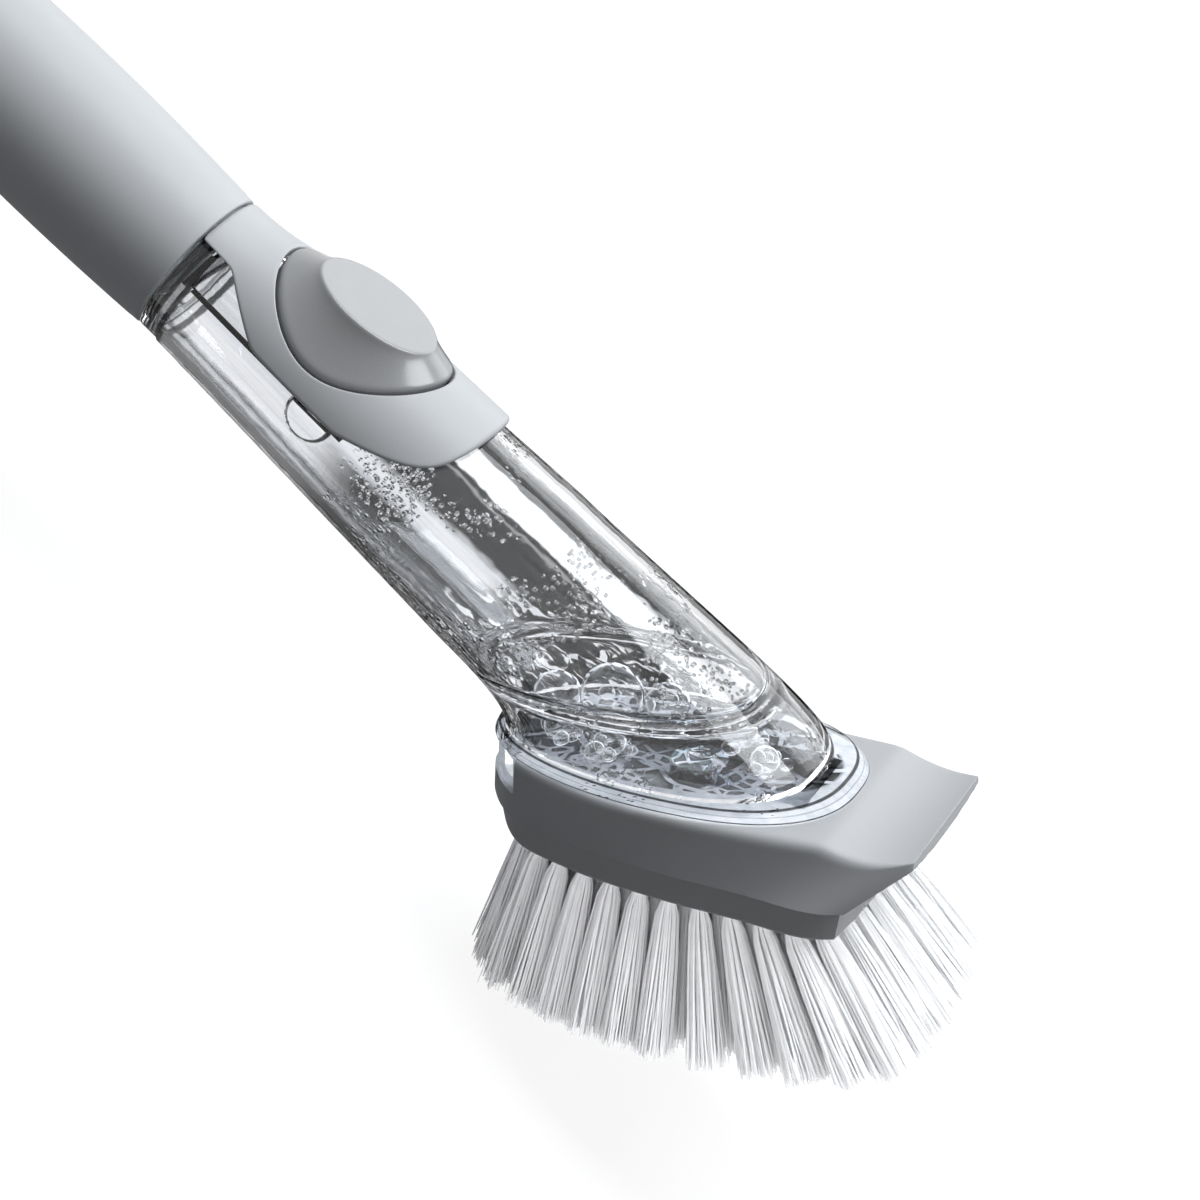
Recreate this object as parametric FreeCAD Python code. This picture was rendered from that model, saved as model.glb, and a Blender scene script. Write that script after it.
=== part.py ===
import FreeCAD, Part
import math
import os

# Dish wand: a scrubbing brush with a soap reservoir, a screw-on handle, a pump button and a slide-off head.
# Millimetres. X runs along the handle from the hanging hole towards the head, and +Z is the button's side.
# The head is drawn in its own frame: s forward to the scraper, y across, n up from the channel's floor.

V = FreeCAD.Vector
ORIGIN = V(0, 0, 0)
X = V(1, 0, 0)
Y = V(0, 1, 0)
Z = V(0, 0, 1)

overrun = 6.0            # how far every cutter runs past what it cuts
running_gap = 0.3        # between pieces that move against each other
seat_gap = 0.1           # between round pieces that are pressed together and move as one
outline_count = 24       # points round each closed curve of a lofted skin

# Handle: a hollow grip with a flattened end for hanging.
handle_length = 95.0
hole_inset = 11.0        # hanging hole's centre from the handle's end
hang_hole_radius = 4.0
tab_thickness = 10.0     # at the hanging hole
scallop_radius = 30.0    # of the two dishes that flatten the end
rim_radius = 15.3
grip_radius = 16.2
grip_inset = 44.0        # fattest place of the grip, from the rim
shoulder_radius = 14.9
shoulder_place = 7.0     # where the rounded end starts, from the hanging hole
cavity_tip_place = 19.0  # tip of the hollow, from the hanging hole
cavity_tip_length = 7.0
cavity_tip_radius = 9.5

# Screw closure between the handle and the reservoir's neck.
thread_pitch = 5.0
thread_turns = 1.5
thread_root_width = 2.0
thread_crest_width = 1.2
thread_bite = 0.4        # how far a thread's root sinks into its wall
thread_inset = 10.8      # start of the handle's thread from the rim
thread_clearance = 0.4   # between the neck's thread and the handle's bore
neck_radius = 10.9
neck_length = 15.5
neck_end_gap = 1.5       # between the neck's mouth and the end of the handle's bore
neck_thread_height = 1.4
handle_thread_height = 1.2
seal_thickness = 1.7
seal_pocket_depth = 2.0
seal_pocket_step = 1.2   # pocket's radius over the handle's bore

# Reservoir: a clear tapered tube whose foot is cut on a slant to meet the head.
reservoir_wall = 1.9
rim_gap = 0.3
collar_length = 4.7
collar_step = 0.1        # how far the collar stands back from the handle's rim
collar_top = 10.6        # height at which the collar is cut off under the bezel's tongue
tube_end_radius = 20.0
tube_taper_length = 117.0
foot_length = 63.0       # where the foot starts to flare, back from the head's place
seat_height = 5.3        # flat seat under the bezel
seat_length = 37.0
air_port_radius = 1.5
lug_inset = 37.0         # clip lugs on the tube's sides, from the rim
lug_radius = 4.7
lug_height = 4.2         # lug's centre above the handle's axis
lug_proud = 0.8

# Head's place: where its channel floor meets the handle's axis, and its slant to that axis.
head_distance = 144.0
head_tilt = 37.1

# Foot and base of the reservoir, in the head's frame.
foot_drop = 15.0         # how steeply the foot's skin comes down on its rim
foot_middle = -14.0
foot_front = 26.4
foot_rear = 36.0
foot_half_width = 21.6
foot_power = 2.4
flange_gap = 0.2         # between the flange and the head's walls
flange_thickness = 2.5
flange_middle = -12.0
flange_front = 31.6
flange_rear = 40.0
flange_half_width = 23.4
flange_power = 2.5
flange_slope = 1.1       # how far the flange's top edge stands back from its bottom edge
flange_front_slope = 3.0
rail_half_width = 12.7
rail_stem_half_width = 10.0
rail_foot_height = 4.0
rail_rear = -36.0        # centre of the rail's round rear end
rail_front = 12.0
outlet_place = -12.0     # along s
outlet_radius = 2.5
valve_bore_radius = 5.4
valve_bore_top = 6.6
valve_flange_thickness = 1.2
valve_dome_radius = 3.0
valve_dome_depth = 2.6
valve_wall = 0.7
valve_slit = 0.3
retainer_bore_radius = 3.6
retainer_bottom = 0.6

# Bezel over the pump, with a tongue at each end.
bezel_length = 64.0
bezel_wall = 2.2
bezel_tongue_proud = 0.1 # of the tube's skin, as are the next three
bezel_tongue_length = 8.0
bezel_flare_proud = 1.9
bezel_flare_inset = 20.0
bezel_middle_proud = 2.45
bezel_middle_inset = 36.0
bezel_tip_proud = 1.8
tongue_gap = 0.4         # between the collar's flat and the tongue
bezel_edge_start = 21.0
bezel_edge_end = 42.0
bezel_rise_inset = 53.0
bezel_rise_height = 8.6
bezel_turn_inset = 61.0
bezel_turn_height = 13.0
bead_width = 1.3
bead_proud = 0.45

# Button and pump bulb.
button_inset = 31.4      # centre, from the rim
button_half_length = 18.4
button_half_width = 15.0
button_proud = 0.5       # foot of the flanks above the bezel's skin
button_rise = 1.8        # flat top above the bezel's skin
button_top_half_length = 12.8
button_top_half_width = 9.5
button_top_slope = 4.0   # degrees, rising towards the head
button_wall = 1.8
button_clearance = 0.4
button_travel = 3.5
button_skirt_gap = 0.6   # left under the skirt when the button is down
button_post_radius = 3.2
bulb_radius = 7.0
bulb_wall = 1.1
bulb_flange_radius = 9.4
bulb_flange_thickness = 1.4
bulb_height = 9.2
clamp_thickness = 1.4

# Head: a channel block with a scraper, above a plate that carries the tufts.
parting_height = -4.5
wall_top = 7.0
head_rear = -52.0
wall_rear = -42.5
head_half_width = 25.3
shoulder_half_width = 23.6
prow_low_place = 25.3
prow_low_half_width = 23.9
prow_bulge = 1.5
scraper_place = 35.9
scraper_half_width = 17.0
scraper_land = 1.5
scraper_height = 5.7
scoop_radius = 24.0
scoop_place = 30.0
soap_hole_radius = 3.0
gasket_radius = 5.6
gasket_thickness = 1.2
gasket_proud = 0.1
plate_bottom = -11.5
plate_top_inset = 0.8
plate_bottom_inset = 2.2
hole_depth = 4.5
hole_radius = 1.25
tuft_root_radius = 1.15
tuft_tip_radius = 2.7
tuft_length = 31.0
staple_width = 1.9
staple_height = 1.4
staple_thickness = 0.4
staple_sink = 0.6        # staple's foot above the tuft's folded end

# Side curves of the head, front corner to rear: shares of the way from scraper or prow to the rear,
# and of the widest half width.
low_side_shares = ((0.04, 1.0), (0.2, 0.996), (0.42, 0.953), (0.56, 0.901), (0.685, 0.83), (0.79, 0.731),
                   (0.88, 0.61), (0.955, 0.36))
top_side_shares = ((0.16, 0.91), (0.32, 0.975), (0.515, 1.0), (0.62, 0.965), (0.72, 0.89), (0.81, 0.775),
                   (0.89, 0.65), (0.955, 0.39))

# Foot's blend: shares of the way from the tube to the foot's rim at which it has a section.
blend_shares = (0.12, 0.36, 0.62, 0.84)

# Pump bulb's dome: share of its height that it reaches halfway in to its flat top.
dome_share = 0.75

# Button's hollow flanks: shares of the way up, and of the way in from the foot to the flat top.
flank_shares = ((0.0, 0.0), (0.22, 0.4), (0.5, 0.7), (0.78, 0.9), (1.0, 1.0))

# Tufts stand in rings, each a share of the plate's outline, and lean outwards by shares of their length.
tuft_middle = -10.0
ring_shares = (0.86, 0.58, 0.3)
ring_counts = (30, 20, 10)
lean_front_share = 0.8
lean_rear_share = 0.34
lean_side_share = 0.26

rim_x = handle_length - hole_inset
collar_x = rim_x + rim_gap
body_x = collar_x + collar_length
seat_end = body_x + seat_length
head_x = rim_x + head_distance
button_x = rim_x + button_inset
handle_bore_radius = neck_radius + neck_thread_height + thread_clearance
seal_pocket_radius = handle_bore_radius + seal_pocket_step
taper_slope = (tube_end_radius - rim_radius) / tube_taper_length
flange_height = wall_top + flange_gap
floor_height = flange_height + flange_thickness
tilt = math.radians(head_tilt)
wide = 2 * tube_end_radius + 2 * head_half_width   # wider than any piece


def place_on_head(shape):
    """Carries a shape from the head's own frame to its place on the wand."""
    shape.rotate(ORIGIN, Y, -head_tilt)
    shape.translate(V(head_x, 0, 0))
    return shape


def head_point(s, y, n):
    """A point of the head's frame, in the wand's frame."""
    return V(head_x + s * math.cos(tilt) - n * math.sin(tilt), y, s * math.sin(tilt) + n * math.cos(tilt))


def box(x0, x1, y0, y1, z0, z1):
    """A block between opposite corners."""
    return Part.makeBox(x1 - x0, y1 - y0, z1 - z0, V(x0, y0, z0))


def tube_radius(x):
    """Outer radius of the clear tube at a place along the handle's axis."""
    return rim_radius + taper_slope * (x - rim_x)


def turned(edges, centre, axis):
    """A solid turned from a closed outline about an axis."""
    return Part.Face(Part.Wire(Part.__sortEdges__(edges))).revolve(centre, axis, 360)


def polygon(points):
    """The edges of a closed outline with straight sides."""
    return [Part.LineSegment(a, b).toShape() for a, b in zip(points, points[1:] + points[:1])]


def closed_curve(points):
    """A smooth closed curve through points, as a wire."""
    curve = Part.BSplineCurve()
    curve.interpolate(points, PeriodicFlag=True)
    return Part.Wire(curve.toShape())


def open_curve(points):
    """A smooth open curve through points, as an edge."""
    curve = Part.BSplineCurve()
    curve.interpolate(points)
    return curve.toShape()


def ellipse(half_x, half_y, centre_x, z):
    """A level ellipse, longer along X, as a wire."""
    centre = V(centre_x, 0, z)
    return Part.Wire(Part.Ellipse(centre + V(half_x, 0, 0), centre + V(0, half_y, 0), centre).toShape())


def turns_of(count):
    """Evenly spaced angles of one full turn."""
    return [2 * math.pi * k / count for k in range(count)]


def egg_point(angle, middle, front, rear, half_width, power):
    """A point of an egg: a blunt half of the given power in front of its middle, half an ellipse behind."""
    c, w = math.cos(angle), math.sin(angle)
    if c < 0:
        return middle + rear * c, half_width * w
    blunt = 2 / power
    return middle + front * c ** blunt, half_width * math.copysign(abs(w) ** blunt, w)


def egg(middle, front, rear, half_width, power, n):
    """An egg outline at a height of the head's frame, as a wire."""
    points = [egg_point(a, middle, front, rear, half_width, power) for a in turns_of(outline_count)]
    return closed_curve([V(s, y, n) for s, y in points])


def thread_rib(root_radius, crest_radius, start_x):
    """A helical rib on a wall of the root radius, running towards the head from its start."""
    bite = math.copysign(thread_bite, crest_radius - root_radius)
    path = Part.makeHelix(thread_pitch, thread_pitch * thread_turns, root_radius)
    corners = [V(root_radius - bite, 0, -thread_root_width / 2), V(crest_radius, 0, -thread_crest_width / 2),
               V(crest_radius, 0, thread_crest_width / 2), V(root_radius - bite, 0, thread_root_width / 2)]
    rib = Part.Wire(path.Edges).makePipeShell([Part.Wire(polygon(corners))], True, True)
    rib.rotate(ORIGIN, Y, 90)
    rib.translate(V(start_x, 0, 0))
    return rib


def handle_shell():
    """The hollow grip: a barrel with a rounded, dished end, a hanging hole and a threaded mouth."""
    end_x = -hole_inset
    shoulder = V(shoulder_place, 0, shoulder_radius)
    rim = V(rim_x, 0, rim_radius)
    dome = Part.Ellipse(V(end_x, 0, 0), shoulder, V(shoulder_place, 0, 0))
    barrel = Part.Arc(shoulder, V(rim_x - grip_inset, 0, grip_radius), rim)
    outline = [Part.ArcOfEllipse(dome, 0, math.pi / 2).toShape(), barrel.toShape(),
               Part.LineSegment(rim, V(rim_x, 0, 0)).toShape(),
               Part.LineSegment(V(rim_x, 0, 0), V(end_x, 0, 0)).toShape()]
    shell = turned(outline, ORIGIN, X)
    dish_height = tab_thickness / 2 + scallop_radius
    for side in (-1, 1):
        dish = Part.makeCylinder(scallop_radius, 2 * grip_radius, V(0, -grip_radius, side * dish_height), Y)
        shell = shell.cut(dish)
    shell = shell.cut(Part.makeCylinder(hang_hole_radius, tab_thickness + 2 * overrun,
                                        V(0, 0, -tab_thickness / 2 - overrun), Z))
    bore_end = rim_x - neck_length - neck_end_gap
    pocket_x = rim_x - seal_pocket_depth
    cavity = [V(rim_x + overrun, 0, 0), V(rim_x + overrun, 0, seal_pocket_radius),
              V(pocket_x, 0, seal_pocket_radius), V(pocket_x, 0, handle_bore_radius),
              V(bore_end, 0, handle_bore_radius),
              V(cavity_tip_place + cavity_tip_length, 0, cavity_tip_radius),
              V(cavity_tip_place, 0, 0)]
    shell = shell.cut(turned(polygon(cavity), ORIGIN, X))
    crest_radius = handle_bore_radius - handle_thread_height
    return shell.fuse(thread_rib(handle_bore_radius, crest_radius, rim_x - thread_inset))


def neck_seal():
    """The flat ring between the handle's mouth and the reservoir's collar."""
    start_x = rim_x - seal_pocket_depth + running_gap
    ring = Part.makeCylinder(seal_pocket_radius - running_gap, seal_thickness, V(start_x, 0, 0), X)
    inner_radius = neck_radius + neck_thread_height + running_gap
    return ring.cut(Part.makeCylinder(inner_radius, seal_thickness + 2 * overrun,
                                      V(start_x - overrun, 0, 0), X))


def foot_skin(inset, start_x):
    """The tube's tapered skin, drawn in by an inset, from a start along X to the slanted rim of the foot."""
    straight_end = head_x - foot_length
    angles = turns_of(outline_count)

    def ring(x):
        r = tube_radius(x) - inset
        return [V(x, r * math.sin(a), r * math.cos(a)) for a in angles]

    rim = []
    for a in angles:
        s, y = egg_point(a, foot_middle, foot_front - inset, foot_rear - inset, foot_half_width - inset,
                         foot_power)
        rim.append(head_point(s, y, floor_height))
    top = ring(straight_end)
    down = V(math.sin(tilt), 0, -math.cos(tilt)) * foot_drop
    sections = [top]
    for t in blend_shares:
        # Cubic blend: leaves the tube along X and arrives square to the foot's rim.
        a0, a1 = 2 * t ** 3 - 3 * t ** 2 + 1, t ** 3 - 2 * t ** 2 + t
        b0, b1 = 3 * t ** 2 - 2 * t ** 3, t ** 3 - t ** 2
        sections.append([p * a0 + X * (a1 * (q - p).Length) + q * b0 + down * b1 for p, q in zip(top, rim)])
    sections.append(rim)
    curves = [closed_curve(points) for points in sections]
    tube = Part.makeLoft([closed_curve(ring(start_x)), curves[0]], True, True)
    return tube.fuse(Part.makeLoft(curves, True)).removeSplitter()


def button_opening(margin, floor):
    """The upright oval that the button moves in, widened by a margin, from a floor upwards."""
    oval = ellipse(button_half_length + margin, button_half_width + margin, button_x, floor)
    return Part.Face(oval).extrude(V(0, 0, wide))


def reservoir_body():
    """The clear tube: threaded neck, collar, flat pump seat, tapered body and slanted foot."""
    body = foot_skin(0, body_x)
    body = body.cut(box(body_x - overrun, seat_end, -wide, wide, seat_height, wide))
    body = body.cut(button_opening(button_clearance, seat_height))
    collar = Part.makeCylinder(rim_radius - collar_step, collar_length + reservoir_wall, V(collar_x, 0, 0), X)
    collar = collar.cut(box(collar_x - overrun, body_x + overrun, -wide, wide, collar_top, wide))
    collar = collar.cut(box(body_x, body_x + overrun, -wide, wide, seat_height, wide))
    neck = Part.makeCylinder(neck_radius, neck_length + reservoir_wall, V(collar_x - neck_length, 0, 0), X)
    body = body.fuse([collar, neck])
    lug_x = rim_x + lug_inset
    lug_reach = tube_radius(lug_x) + lug_proud
    lugs = Part.makeCylinder(lug_radius, 2 * lug_reach, V(lug_x, -lug_reach, lug_height), Y)
    lugs = lugs.cut(box(lug_x - wide, lug_x + wide, -wide, wide, seat_height, wide))
    body = body.fuse(lugs)
    cavity = foot_skin(reservoir_wall, body_x - reservoir_wall)
    ceiling = seat_height - reservoir_wall
    cavity = cavity.cut(box(body_x - overrun, seat_end + reservoir_wall, -wide, wide, ceiling, wide))
    cavity = cavity.cut(button_opening(button_clearance + reservoir_wall, ceiling))
    bore = Part.makeCylinder(neck_radius - reservoir_wall, neck_length + collar_length + overrun,
                             V(collar_x - neck_length - overrun, 0, 0), X)
    bore = bore.cut(box(body_x - reservoir_wall, body_x + overrun, -wide, wide, ceiling, wide))
    body = body.cut([cavity, bore])
    body = body.cut(Part.makeCylinder(air_port_radius, 2 * overrun, V(button_x, 0, seat_height - overrun), Z))
    start_x = rim_x - thread_inset - thread_pitch / 2
    return body.fuse(thread_rib(neck_radius, neck_radius + neck_thread_height, start_x))


def reservoir_base():
    """The clear plate that closes the foot: a sloping flange over a rail, with the outlet through both."""
    low = egg(flange_middle, flange_front, flange_rear, flange_half_width, flange_power, flange_height)
    high = egg(flange_middle, flange_front - flange_front_slope, flange_rear - flange_slope,
               flange_half_width - flange_slope, flange_power, floor_height)
    base = Part.makeLoft([low, high], True, True)
    rail_bottom = running_gap
    foot_top = rail_foot_height
    stem = box(rail_rear, rail_front, -rail_stem_half_width, rail_stem_half_width, rail_bottom, flange_height)
    stem = stem.fuse(Part.makeCylinder(rail_stem_half_width, flange_height - rail_bottom,
                                       V(rail_rear, 0, rail_bottom), Z))
    foot = box(rail_rear, rail_front, -rail_half_width, rail_half_width, rail_bottom, foot_top)
    foot = foot.fuse(Part.makeCylinder(rail_half_width, foot_top - rail_bottom,
                                       V(rail_rear, 0, rail_bottom), Z))
    heel_plan = egg(flange_middle, flange_front, flange_rear - flange_slope, flange_half_width, flange_power,
                    rail_bottom)
    heel = Part.Face(heel_plan).extrude(V(0, 0, flange_height - rail_bottom))
    heel = heel.common(box(head_rear, wall_rear - running_gap, -flange_half_width, flange_half_width,
                           0, flange_height))
    base = base.fuse([stem, foot, heel])
    outlet = Part.makeCylinder(outlet_radius, floor_height + overrun, V(outlet_place, 0, 0), Z)
    valve_bore = Part.makeCylinder(valve_bore_radius, valve_bore_top + overrun,
                                   V(outlet_place, 0, -overrun), Z)
    return place_on_head(base.cut([outlet, valve_bore]).removeSplitter())


def outlet_valve():
    """The soft slit valve: a flange with a domed lip that opens downwards."""
    flange_bottom = valve_bore_top - valve_flange_thickness
    tip = flange_bottom - valve_dome_depth
    flange = Part.makeCylinder(valve_bore_radius - seat_gap, valve_flange_thickness,
                               V(outlet_place, 0, flange_bottom), Z)
    dome = Part.makeCone(valve_dome_radius - valve_wall, valve_dome_radius, valve_dome_depth,
                         V(outlet_place, 0, tip), Z)
    hollow = Part.makeCone(valve_dome_radius - 2 * valve_wall, valve_dome_radius - valve_wall,
                           valve_bore_top - tip - valve_wall + overrun,
                           V(outlet_place, 0, tip + valve_wall), Z)
    slit = box(outlet_place - valve_slit / 2, outlet_place + valve_slit / 2, -valve_dome_radius / 2,
               valve_dome_radius / 2, tip - overrun, tip + valve_wall)
    return place_on_head(flange.fuse(dome).cut([hollow, slit]))


def valve_retainer():
    """The ring pressed in under the valve to hold its flange."""
    top = valve_bore_top - valve_flange_thickness
    ring = Part.makeCylinder(valve_bore_radius - seat_gap, top - retainer_bottom,
                             V(outlet_place, 0, retainer_bottom), Z)
    bore = Part.makeCylinder(retainer_bore_radius, top + overrun, V(outlet_place, 0, 0), Z)
    return place_on_head(ring.cut(bore))


def bezel_curve(inset):
    """The bezel's profile along the handle's axis, drawn in by an inset, as a curve above the axis."""
    places = ((rim_gap, 0), (bezel_tongue_length, bezel_tongue_proud), (bezel_flare_inset, bezel_flare_proud),
              (bezel_middle_inset, bezel_middle_proud), (bezel_length, bezel_tip_proud))
    curve = Part.BSplineCurve()
    curve.interpolate([V(rim_x + along, 0, tube_radius(rim_x + along) + proud - inset)
                       for along, proud in places])
    return curve


def bezel_skin(inset):
    """The bezel's outer form turned about the handle's axis, drawn in by an inset."""
    curve = bezel_curve(inset).toShape()
    start, end = curve.valueAt(curve.FirstParameter), curve.valueAt(curve.LastParameter)
    sides = [end, V(end.x, 0, 0), V(start.x, 0, 0), start]
    edges = [Part.LineSegment(a, b).toShape() for a, b in zip(sides, sides[1:])]
    return turned([curve] + edges, ORIGIN, X)


def bezel_side_cut():
    """What the bezel keeps, seen from the side: all that lies above its lower edge."""
    start_x = collar_x - overrun
    end_x = rim_x + bezel_length
    top = tube_radius(end_x) + bezel_tip_proud + overrun
    tongue_edge_height = collar_top + tongue_gap
    bezel_edge_height = seat_height + seat_gap
    tongue_x = rim_x + bezel_tongue_length
    low_start, low_end = rim_x + bezel_edge_start, rim_x + bezel_edge_end
    middle = V((tongue_x + low_start) / 2, 0, (tongue_edge_height + bezel_edge_height) / 2)
    fall = open_curve([V(tongue_x, 0, tongue_edge_height), middle, V(low_start, 0, bezel_edge_height)])
    rise = open_curve([V(low_end, 0, bezel_edge_height), V(rim_x + bezel_rise_inset, 0, bezel_rise_height),
                       V(rim_x + bezel_turn_inset, 0, bezel_turn_height), V(end_x, 0, top)])
    corners = [V(end_x, 0, top), V(start_x, 0, top), V(start_x, 0, tongue_edge_height),
               V(tongue_x, 0, tongue_edge_height)]
    edges = [Part.LineSegment(a, b).toShape() for a, b in zip(corners, corners[1:])]
    level = Part.LineSegment(V(low_start, 0, bezel_edge_height), V(low_end, 0, bezel_edge_height)).toShape()
    face = Part.Face(Part.Wire(Part.__sortEdges__(edges + [fall, level, rise])))
    face.translate(V(0, -top, 0))
    return face.extrude(V(0, 2 * top, 0))


def button_bezel():
    """The grey cover over the pump, with a raised bead round the button."""
    keep = bezel_side_cut()
    shell = bezel_skin(0).common(keep)
    bead = button_opening(button_clearance + bead_width, seat_height).common(bezel_skin(-bead_proud))
    shell = shell.fuse(bead.common(keep))
    hollow = bezel_skin(bezel_wall).cut(box(seat_end, seat_end + bezel_length, -wide, wide, 0, wide))
    tube_length = rim_x + bezel_length + overrun - seat_end
    tube = Part.makeCone(tube_radius(seat_end) + seat_gap, tube_radius(seat_end + tube_length) + seat_gap,
                         tube_length, V(seat_end, 0, 0), X)
    return shell.cut([hollow, tube, button_opening(button_clearance, seat_height)])


def push_button():
    """The oval button: its foot follows the bezel, hollow flanks rise to a sloping top, a post sits below."""
    profile = bezel_curve(0)
    slope = math.tan(math.radians(button_top_slope))

    def level_at(x):
        return profile.value(profile.parameter(V(x, 0, tube_radius(x) + bezel_middle_proud))).z

    top_height = level_at(button_x) + button_rise
    skirt_bottom = seat_height + button_travel + button_skirt_gap

    def section(up, inward, inset):
        half_x = button_half_length - inset + inward * (button_top_half_length - button_half_length)
        half_y = button_half_width - inset + inward * (button_top_half_width - button_half_width)
        points = []
        for a in turns_of(outline_count):
            foot_x = button_x + (button_half_length - inset) * math.cos(a)
            foot_y = (button_half_width - inset) * math.sin(a)
            foot = math.sqrt(level_at(foot_x) ** 2 - foot_y ** 2) + button_proud - inset
            x = button_x + half_x * math.cos(a)
            top = top_height - inset + slope * (x - button_x)
            points.append(V(x, half_y * math.sin(a), foot + up * (top - foot)))
        return closed_curve(points)

    def cup(inset, low):
        half_x, half_y = button_half_length - inset, button_half_width - inset
        foot = closed_curve([V(button_x + half_x * math.cos(a), half_y * math.sin(a), low)
                             for a in turns_of(outline_count)])
        return Part.makeLoft([foot] + [section(up, inward, inset) for up, inward in flank_shares], True, True)

    cap = cup(0, skirt_bottom).cut(cup(button_wall, skirt_bottom - overrun))
    post_bottom = seat_height + bulb_height + running_gap
    post = Part.makeCylinder(button_post_radius, top_height - button_wall / 2 - post_bottom,
                             V(button_x, 0, post_bottom), Z)
    return cap.fuse(post)


def pump_bulb():
    """The soft dome under the button that pushes air into the reservoir."""
    centre = V(button_x, 0, seat_height)
    top = bulb_height
    flat = button_post_radius

    def dome(inset, foot):
        crown = top - inset
        shoulder = bulb_radius - inset
        halfway = foot + (crown - foot) * dome_share
        arc = Part.Arc(V(button_x + shoulder, 0, seat_height + foot),
                       V(button_x + (shoulder + flat) / 2, 0, seat_height + halfway),
                       V(button_x + flat, 0, seat_height + crown)).toShape()
        corners = [V(button_x + flat, 0, seat_height + crown), centre + V(0, 0, crown), centre,
                   V(button_x + shoulder, 0, seat_height), V(button_x + shoulder, 0, seat_height + foot)]
        edges = [Part.LineSegment(a, b).toShape() for a, b in zip(corners, corners[1:])]
        return turned([arc] + edges, centre, Z)

    flange = Part.makeCylinder(bulb_flange_radius, bulb_flange_thickness, centre, Z)
    return flange.fuse(dome(0, bulb_flange_thickness)).cut(dome(bulb_wall, bulb_flange_thickness))


def bulb_clamp():
    """The ring that presses the bulb's flange onto the seat."""
    base = V(button_x, 0, seat_height + bulb_flange_thickness)
    ring = Part.makeCylinder(bulb_flange_radius, clamp_thickness, base, Z)
    return ring.cut(Part.makeCylinder(bulb_radius + seat_gap, clamp_thickness + overrun, base, Z))


def side_points(front, half_front, widest, shares, inset):
    """One side of the head's plan, from its front corner to near its rear end, drawn in by an inset."""
    run = front - head_rear
    points = [(front - inset, half_front - inset)]
    for along, across in shares:
        points.append((front - inset - along * (run - 2 * inset), across * (widest - inset)))
    return points


def head_outline(side, rear, n, bulge):
    """A closed plan outline: one smooth curve round sides and rear, and a slightly bowed front edge."""
    back = [V(s, y, n) for s, y in side] + [V(rear, 0, n)] + [V(s, -y, n) for s, y in reversed(side)]
    front_s, front_y = side[0]
    bow = Part.Arc(V(front_s, -front_y, n), V(front_s + bulge, 0, n), V(front_s, front_y, n)).toShape()
    return Part.Wire([open_curve(back), bow])


def low_outline(n, inset):
    """The head's plan at its parting line, or drawn in from it."""
    side = side_points(prow_low_place, prow_low_half_width, head_half_width, low_side_shares, inset)
    return head_outline(side, head_rear + inset, n, prow_bulge)


def head_frame():
    """The grey block: side walls round an open channel, a dished prow and a straight scraper edge."""
    block_height = wall_top - parting_height
    lean = (scraper_place - prow_low_place) / (scraper_height - scraper_land - parting_height)
    top_front = prow_low_place + lean * block_height
    side = side_points(top_front, scraper_half_width, shoulder_half_width, top_side_shares, 0)
    top = head_outline(side, head_rear, wall_top, prow_bulge)
    block = Part.makeLoft([low_outline(parting_height, 0), top], True, True)
    low, high = parting_height - overrun, wall_top + overrun
    block = block.cut(box(scraper_place, scraper_place + wide, -wide, wide, low, high))
    scoop_axis = scraper_height + math.sqrt(scoop_radius ** 2 - (scraper_place - scoop_place) ** 2)
    scoop = Part.makeCylinder(scoop_radius, 2 * wide, V(scoop_place, -wide, scoop_axis), Y)
    block = block.cut(scoop)
    rear, front = head_rear - overrun, rail_front + running_gap
    block = block.cut(box(rear, wall_rear, -wide, wide, 0, high))
    half_slot, half_mouth = rail_half_width + running_gap, rail_stem_half_width + running_gap
    slot = box(rear, front, -half_slot, half_slot, 0, rail_foot_height + running_gap)
    mouth = box(rear, front, -half_mouth, half_mouth, 0, high)
    hole = Part.makeCylinder(soap_hole_radius, block_height + overrun, V(outlet_place, 0, low), Z)
    pocket = Part.makeCylinder(gasket_radius + seat_gap, gasket_thickness + overrun,
                               V(outlet_place, 0, gasket_proud - gasket_thickness), Z)
    return place_on_head(block.cut([slot, mouth, hole, pocket]))


def port_gasket():
    """The soft ring round the soap hole in the channel's floor."""
    base = V(outlet_place, 0, gasket_proud - gasket_thickness)
    ring = Part.makeCylinder(gasket_radius, gasket_thickness, base, Z)
    return place_on_head(ring.cut(Part.makeCylinder(soap_hole_radius, gasket_thickness + overrun, base, Z)))


def tuft_places():
    """Each tuft's root on the plate's underside and its direction, ring by ring."""
    outline = low_outline(plate_bottom, plate_bottom_inset)
    places = []
    for share, count in zip(ring_shares, ring_counts):
        ring = []
        for point in outline.discretize(count + 1)[:-1]:
            root = V(tuft_middle + share * (point.x - tuft_middle), share * point.y, plate_bottom)
            along = root.x - tuft_middle
            reach = (prow_low_place - tuft_middle) if along > 0 else (tuft_middle - head_rear)
            lean = (lean_front_share if along > 0 else lean_rear_share) * along / reach
            direction = V(lean, lean_side_share * root.y / head_half_width, -1).normalize()
            ring.append((root, direction))
        places.append(ring)
    return places


def tuft_plate():
    """The lower plate, drilled for the tufts and for the soap."""
    plate = Part.makeLoft([low_outline(plate_bottom, plate_bottom_inset),
                           low_outline(parting_height, plate_top_inset)], True, True)
    holes = [Part.makeCylinder(hole_radius, hole_depth + overrun, root - direction * hole_depth, direction)
             for ring in tuft_places() for root, direction in ring]
    holes.append(Part.makeCylinder(soap_hole_radius, parting_height - plate_bottom + 2 * overrun,
                                   V(outlet_place, 0, plate_bottom - overrun), Z))
    return place_on_head(plate.cut(holes))


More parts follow.
